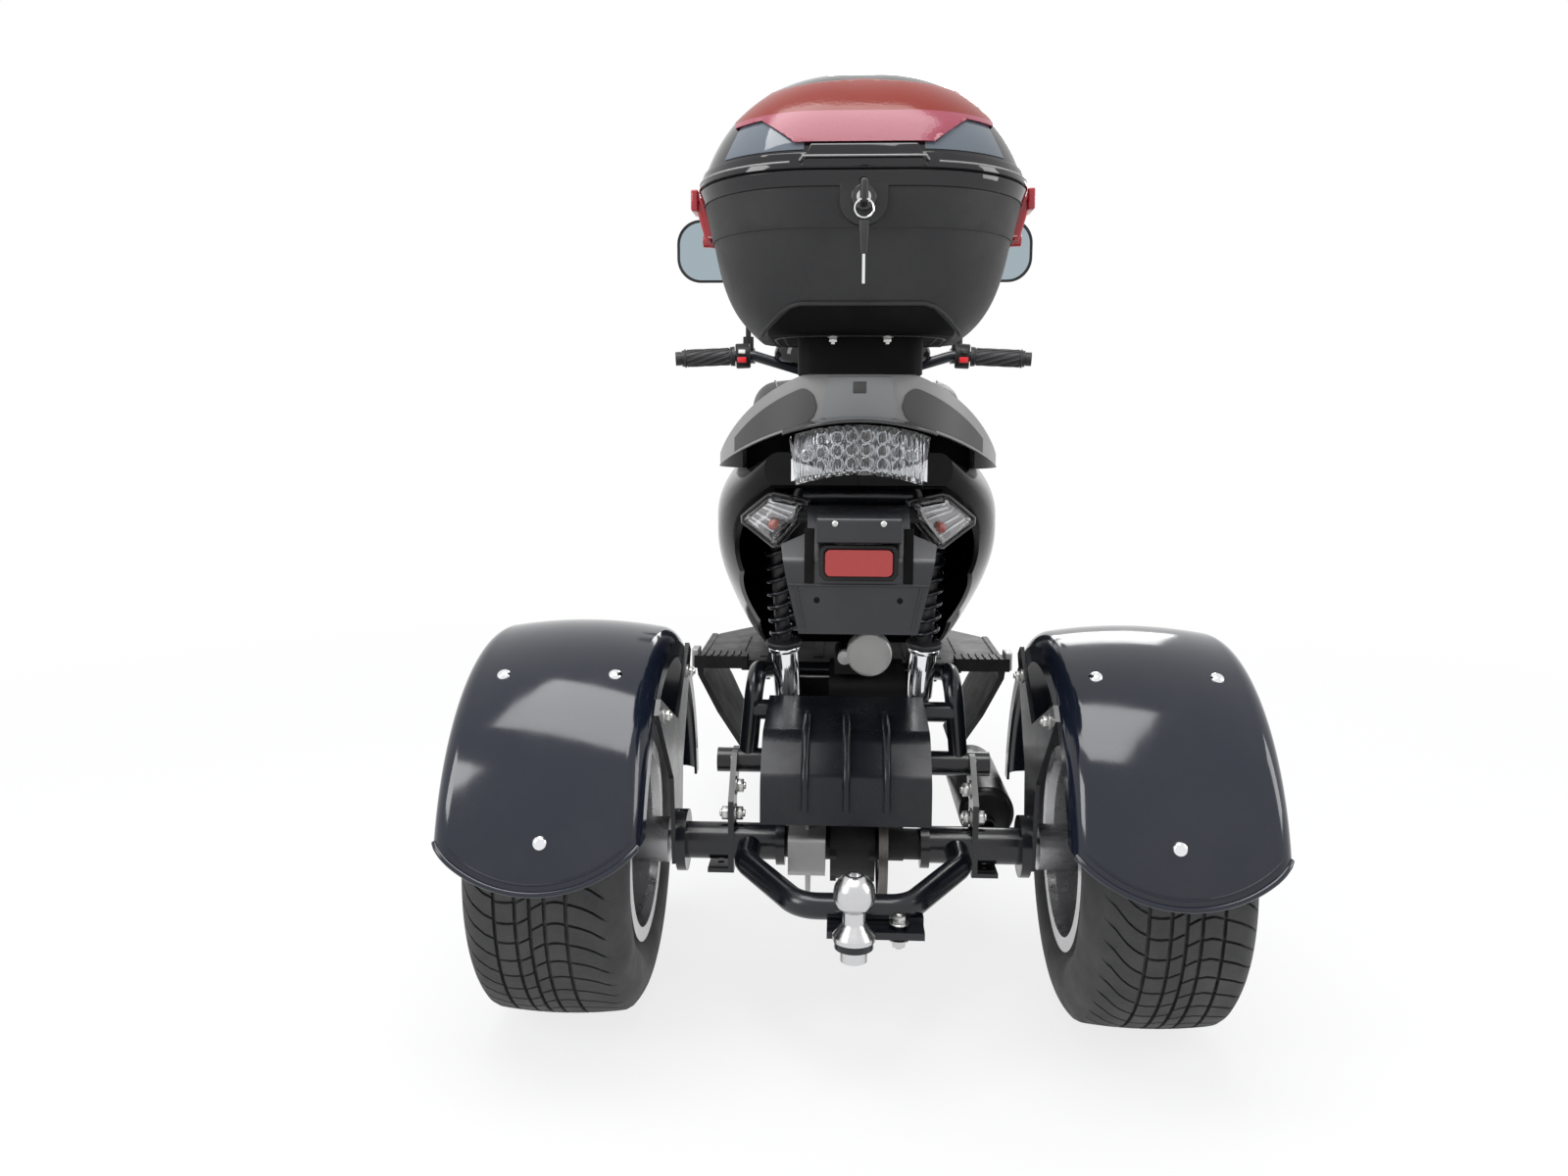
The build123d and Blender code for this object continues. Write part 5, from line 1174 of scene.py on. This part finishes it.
def switch_key(name, spot, half, low, high, edge, material):
    """A key on the rear face of a switch body."""
    key = block(name, (spot.x - half, spot.y + SWITCH_BACK, spot.z + low),
                (spot.x + half, spot.y + SWITCH_FRONT, spot.z + high))
    rounded(key, edge, 2, material, "steering")


for side, name in SIDES:
    starts = [2 * math.pi * k / RIB_COUNT for k in range(RIB_COUNT)]
    ribs = [[round_bar(side, GRIP_START + RIB_STEP * k, GRIP_R, start + RIB_TWIST * k)
             for k in range(RIB_STEPS)] for start in starts]
    bead(f"grip_ribs_{name}", ribs, 1.5, grip_rubber, "steering", sides=2)
    collars = [[round_bar(side, x, radius, a * math.pi / (COLLAR_STEPS / 2)) for a in range(COLLAR_STEPS)]
               for x, radius in COLLARS]
    bead(f"grip_collars_{name}", collars, 2.2, grip_rubber, "steering", cyclic=True)
    housing = drum(f"switch_body_{name}", by_bar(side, 211), by_bar(side, 240.5), 25.5, 40)
    rounded(housing, 3.0, 3, trim_plastic, "steering")
    middle = by_bar(side, SWITCH_X)
    switch_key(f"switch_red_{name}", middle, 9, -15, -4, 1.2, button_red)
    switch_key(f"switch_rocker_{name}", middle, 7, 3, 11, 1.4, switch_white if side < 0 else lamp_bezel)
    lever_end = ball(f"lever_end_{name}", 8.5, (side * 344, 962, 936), segments=20)
    complete(lever_end, black_casting, "steering")

# Valve stems
for side, name in SIDES:
    stem = drum(f"valve_{name}", (side * (TRACK + 74), 0, REAR_HUB_Z + 114),
                (side * (TRACK + 92), 0, REAR_HUB_Z + 106), 3.2, 16)
    complete(stem, grip_rubber, f"rear_wheel_{name}")

# Seat: a cushion simulated as filled cloth over the plain solid, then piped and seamed
SEAT_VOXEL = 0.006
SEAT_PULL_IN = 2.5
SEAT_CAP = 0.007
SEAT_FRAMES, SEAT_QUICK_FRAMES = 20, 4
SEAT_HELD_SLOPE = -0.35
SEAM_HALF = [(62, 104), (150, 116), (235, 120), (330, 120), (450, 112), (530, 78)]
CROSS_SEAMS, CROSS_BOW, CROSS_HALF = (226, 322), 18, 118


def cushion(node, name):
    """A copy of a soft node that swells as filled cloth, held along its flat underside."""
    piece = copy_of_node(node, name)
    use_modifier(piece, "REMESH", mode="VOXEL", voxel_size=SEAT_VOXEL)
    swell(piece, -SEAT_PULL_IN)
    start = [point.co.copy() for point in piece.data.vertices]
    held = piece.vertex_groups.new(name="held")
    underside = [point.index for point in piece.data.vertices if point.normal.z < SEAT_HELD_SLOPE]
    held.add(underside, 1.0, "REPLACE")
    take(piece)
    cloth = piece.modifiers.new("Cloth", "CLOTH")
    cloth.settings.quality = 5
    cloth.settings.mass = 0.3
    cloth.settings.tension_stiffness = 18
    cloth.settings.compression_stiffness = 18
    cloth.settings.bending_stiffness = 3
    cloth.settings.use_pressure = True
    cloth.settings.uniform_pressure_force = 4.0
    cloth.settings.effector_weights.gravity = 0.0
    cloth.settings.vertex_group_mass = "held"
    cloth.collision_settings.use_collision = False
    scene = bpy.context.scene
    for frame_number in range(1, SEAT_FRAMES + 1):
        scene.frame_set(frame_number)
    bpy.ops.object.modifier_apply(modifier=cloth.name)
    scene.frame_set(1)
    for point, rest in zip(piece.data.vertices, start):
        move = point.co - rest
        if move.length > SEAT_CAP:
            point.co = rest + move.normalized() * SEAT_CAP
    piece.vertex_groups.clear()
    use_modifier(piece, "SMOOTH", factor=0.5, iterations=5)
    use_modifier(piece, "SUBSURF", levels=1, render_levels=1)
    return piece


seat_pad = cushion("seat", "seat_cushion")


def on_seat(x, y):
    """The point on top of the cushion above a place, in millimetres."""
    hit, spot, normal, index = seat_pad.ray_cast(place(x, y, 1000), DOWN)
    spot = at(spot)
    return (spot.x, spot.y, spot.z + 0.4) if hit else None


def seam(points):
    """The points of a line that lie on the cushion."""
    return [spot for spot in (on_seat(x, y) for x, y in points) if spot]


long_seams = [seam([(s * between(SEAM_HALF, y), y) for y in range(64, 531, 6)]) for s in (-1, 1)]
cross_seams = [seam([(x, y + CROSS_BOW * (1 - (x / CROSS_HALF) ** 2)) for x in range(-114, 115, 6)])
               for y in CROSS_SEAMS]
bead("seat_piping", long_seams, 2.0, seat_vinyl, "seat")
bead("seat_seams", cross_seams, 1.5, seat_thread, "seat")
complete(seat_pad, seat_vinyl, "seat", smooth=60)
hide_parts("seat")

# Seat pan: the moulded base that closes the seat against the side panels
SEAT_LINE = [(62, 766), (232, 766), (285, 702), (700, 690)]
PAN_HALF = [(62, 118), (100, 128), (150, 140), (225, 149), (240, 152), (285, 176), (330, 172), (430, 161),
            (500, 142), (546, 124)]
PAN_BACK, PAN_LENGTH, PAN_LIFT = 62, 484, 3.0


def pan_spot(u, v):
    """A point of the pan, which follows the seat's lower line."""
    y = PAN_BACK + PAN_LENGTH * v
    return ((2 * u - 1) * between(PAN_HALF, y), y, between(SEAT_LINE, y) + PAN_LIFT)


pan = mapped_grid("seat_pan", 16, 80, pan_spot)
walled(pan, 3.0)
merge_points(pan, PATCH_MERGE, outward=True)
rounded(pan, 1.0, 2, trim_plastic, "seat", angle=50)

# Engine guard: rounded ribs with a short slot at the head of each
GUARD_LINE = [(-30, 413.4), (-70, 411.6), (-86, 408), (-97, 401), (-122, 374), (-131, 362), (-135, 350),
              (-136.6, 330), (-136.8, 319)]
SLOT_HALF = 2.4
for number, x in enumerate((-62, -10, 41)):
    bead(f"guard_rib_{number}", [[(x, y, z) for y, z in GUARD_LINE]], 5.2, guard_satin, sides=4)
    slot_bar = block(f"guard_slot_{number}", (x - SLOT_HALF, -26, 415.4), (x + SLOT_HALF, -8, 417.2))
    rounded(slot_bar, 0.8, 2, black_casting)

# Headlamp and front signals: clear shells over a bright or amber backing
for node_name, shell_name, backing_finish in (("headlamp", "head_lens", lamp_bowl),
                                              ("front_signals", "front_signal_lens", bulb_amber)):
    lens_shell(node_name, shell_name, 1.2)
    backing = copy_of_node(node_name, f"{shell_name}_back")
    swell(backing, -1.7)
    complete(backing, backing_finish, "chassis")

# Shocks: each part is a round bar between two lengths along the shock, with a radius and an edge
SHOCK_FOOT, SHOCK_HEAD = Vector((92, 85, 402)), Vector((112, 45, 690))
SHOCK_PARTS = (
    ("sleeve", 15, 84, 18.5, 3.0, chrome), ("collar", 82, 90, 22.0, 2.5, chrome),
    ("seat", 90, 98.5, 25.5, 3.2, grip_rubber), ("tube", 97, 243, 10.5, 1.0, grip_rubber),
    ("head", 242.5, 285, 20.0, 3.0, grip_rubber), ("foot", 8, 16, 15.0, 2.0, zinc),
)
shock_run = (SHOCK_HEAD - SHOCK_FOOT).normalized()
for side, name in SIDES:
    for part, start, end, radius, edge, material in SHOCK_PARTS:
        low, high = SHOCK_FOOT + shock_run * start, SHOCK_FOOT + shock_run * end
        piece = drum(f"shock_{part}_{name}", (side * low.x, low.y, low.z), (side * high.x, high.y, high.z),
                     radius, 40)
        rounded(piece, edge, 3, material)
for side, name in SIDES:
    bush = drum(f"shock_bush_{name}", (side * 98.5, 45, 690), (side * 126, 45, 690), 14.2, 32)
    rounded(bush, 2.0, 3, grip_rubber)

# Engine: pale round cover with its lug
cover = drum("engine_cover", (26, 231, 448), (26, 262, 448), 35, 48)
soften(cover, 5.0, 4)
lug = drum("cover_lug", (-12, 233, 442), (-12, 252, 442), 11, 28)
soften(lug, 1.5, 2)
complete(joined("engine_cover", [cover, lug]), cover_alloy, "chassis")


# Stage: pale floor, white surround, soft lamps and the camera
FLOOR_SIZE = 14
FLOOR_NEAR, FLOOR_FAR, FLOOR_NEAR_WHITE = 0.9, 3.2, 0.80


def seen_white(tree, light_shader, strength):
    """White for what the eye, gloss and glass see, with another shader for the light it gives."""
    path = tree.nodes.new("ShaderNodeLightPath")
    either = maths(tree, "MAXIMUM", path.outputs["Is Camera Ray"], path.outputs["Is Glossy Ray"])
    seen = maths(tree, "MAXIMUM", either, path.outputs["Is Transmission Ray"])
    share = maths(tree, "MULTIPLY", seen, strength)
    choice = tree.nodes.new("ShaderNodeMixShader")
    tree.links.new(share, choice.inputs[0])
    tree.links.new(light_shader.outputs[0], choice.inputs[1])
    return choice


put_down()
bpy.ops.mesh.primitive_plane_add(size=FLOOR_SIZE, location=(0, 0, 0))
floor = bpy.context.object
floor.name = "studio_floor"
floor_finish = bpy.data.materials.new("studio_floor")
floor_finish.use_nodes = True
floor_tree = floor_finish.node_tree
floor_shader = floor_tree.nodes["Principled BSDF"]
floor_shader.inputs["Base Color"].default_value = (0.80, 0.80, 0.80, 1)
floor_shader.inputs["Roughness"].default_value = 0.9
floor_white = floor_tree.nodes.new("ShaderNodeEmission")
floor_place = floor_tree.nodes.new("ShaderNodeTexCoord")
floor_reach = floor_tree.nodes.new("ShaderNodeVectorMath")
floor_reach.operation = "LENGTH"
floor_tree.links.new(floor_place.outputs["Object"], floor_reach.inputs[0])
floor_fade = remap(floor_tree, floor_reach.outputs["Value"], FLOOR_NEAR, FLOOR_FAR, FLOOR_NEAR_WHITE, 1.0)
floor_choice = seen_white(floor_tree, floor_shader, floor_fade)
floor_tree.links.new(floor_white.outputs[0], floor_choice.inputs[2])
floor_tree.links.new(floor_choice.outputs[0], floor_tree.nodes["Material Output"].inputs["Surface"])
floor.data.materials.append(floor_finish)

world = bpy.data.worlds.new("studio")
bpy.context.scene.world = world
world.use_nodes = True
world_tree = world.node_tree
soft_sky = world_tree.nodes["Background"]
soft_sky.inputs["Color"].default_value = (0.92, 0.95, 1.0, 1)
soft_sky.inputs["Strength"].default_value = 0.55
white_sky = world_tree.nodes.new("ShaderNodeBackground")
white_sky.inputs["Color"].default_value = (1, 1, 1, 1)
world_choice = seen_white(world_tree, soft_sky, 1.0)
world_tree.links.new(white_sky.outputs[0], world_choice.inputs[2])
world_tree.links.new(world_choice.outputs[0], world_tree.nodes["World Output"].inputs["Surface"])


def soft_lamp(name, spot, aim, size, power):
    """A rectangular lamp at a spot, turned towards a point."""
    lamp = bpy.data.lights.new(name, "AREA")
    lamp.shape = "RECTANGLE"
    lamp.size, lamp.size_y = size
    lamp.energy = power
    holder = bpy.data.objects.new(name, lamp)
    bpy.context.collection.objects.link(holder)
    holder.location = spot
    holder.rotation_euler = (Vector(aim) - Vector(spot)).to_track_quat("-Z", "Y").to_euler()


soft_lamp("lamp_above", (-0.4, -1.2, 3.6), (0, -0.3, 0.5), (2.6, 1.8), 90)
soft_lamp("lamp_left", (-2.8, -2.4, 2.2), (0, -0.3, 0.6), (1.2, 1.6), 45)
soft_lamp("lamp_right", (3.0, -1.2, 1.8), (0, -0.2, 0.6), (1.0, 1.8), 30)
soft_lamp("lamp_front", (0.8, 3.2, 2.4), (0, 0.3, 0.6), (1.8, 1.4), 40)

# The camera stands where the photograph was taken
CAMERA_SPOT = Vector((-0.0204, -2.1412, 0.7884))
YAW, PITCH, ROLL = (math.radians(v) for v in (-2.780, 7.626, 0.220))
FOCAL_PIXELS = 1186.0
PHOTO_WIDTH = 1600.0
SENSOR_WIDTH = 36.0
ahead = Vector((math.sin(YAW), math.cos(YAW), 0))
across = Vector((math.cos(YAW), -math.sin(YAW), 0))
aim = ahead * math.cos(PITCH) - Vector((0, 0, 1)) * math.sin(PITCH)
rise = Vector((0, 0, 1)) * math.cos(PITCH) + ahead * math.sin(PITCH)
camera_x = across * math.cos(ROLL) + rise * math.sin(ROLL)
camera_y = rise * math.cos(ROLL) - across * math.sin(ROLL)
camera_data = bpy.data.cameras.new("camera")
camera_data.sensor_fit = "HORIZONTAL"
camera_data.sensor_width = SENSOR_WIDTH
camera_data.lens = FOCAL_PIXELS / PHOTO_WIDTH * SENSOR_WIDTH
camera = bpy.data.objects.new("camera", camera_data)
bpy.context.collection.objects.link(camera)
turn = Matrix((camera_x, camera_y, -aim)).transposed().to_4x4()
camera.matrix_world = Matrix.Translation(CAMERA_SPOT) @ turn
bpy.context.scene.camera = camera
bpy.context.scene.view_settings.view_transform = "Standard"
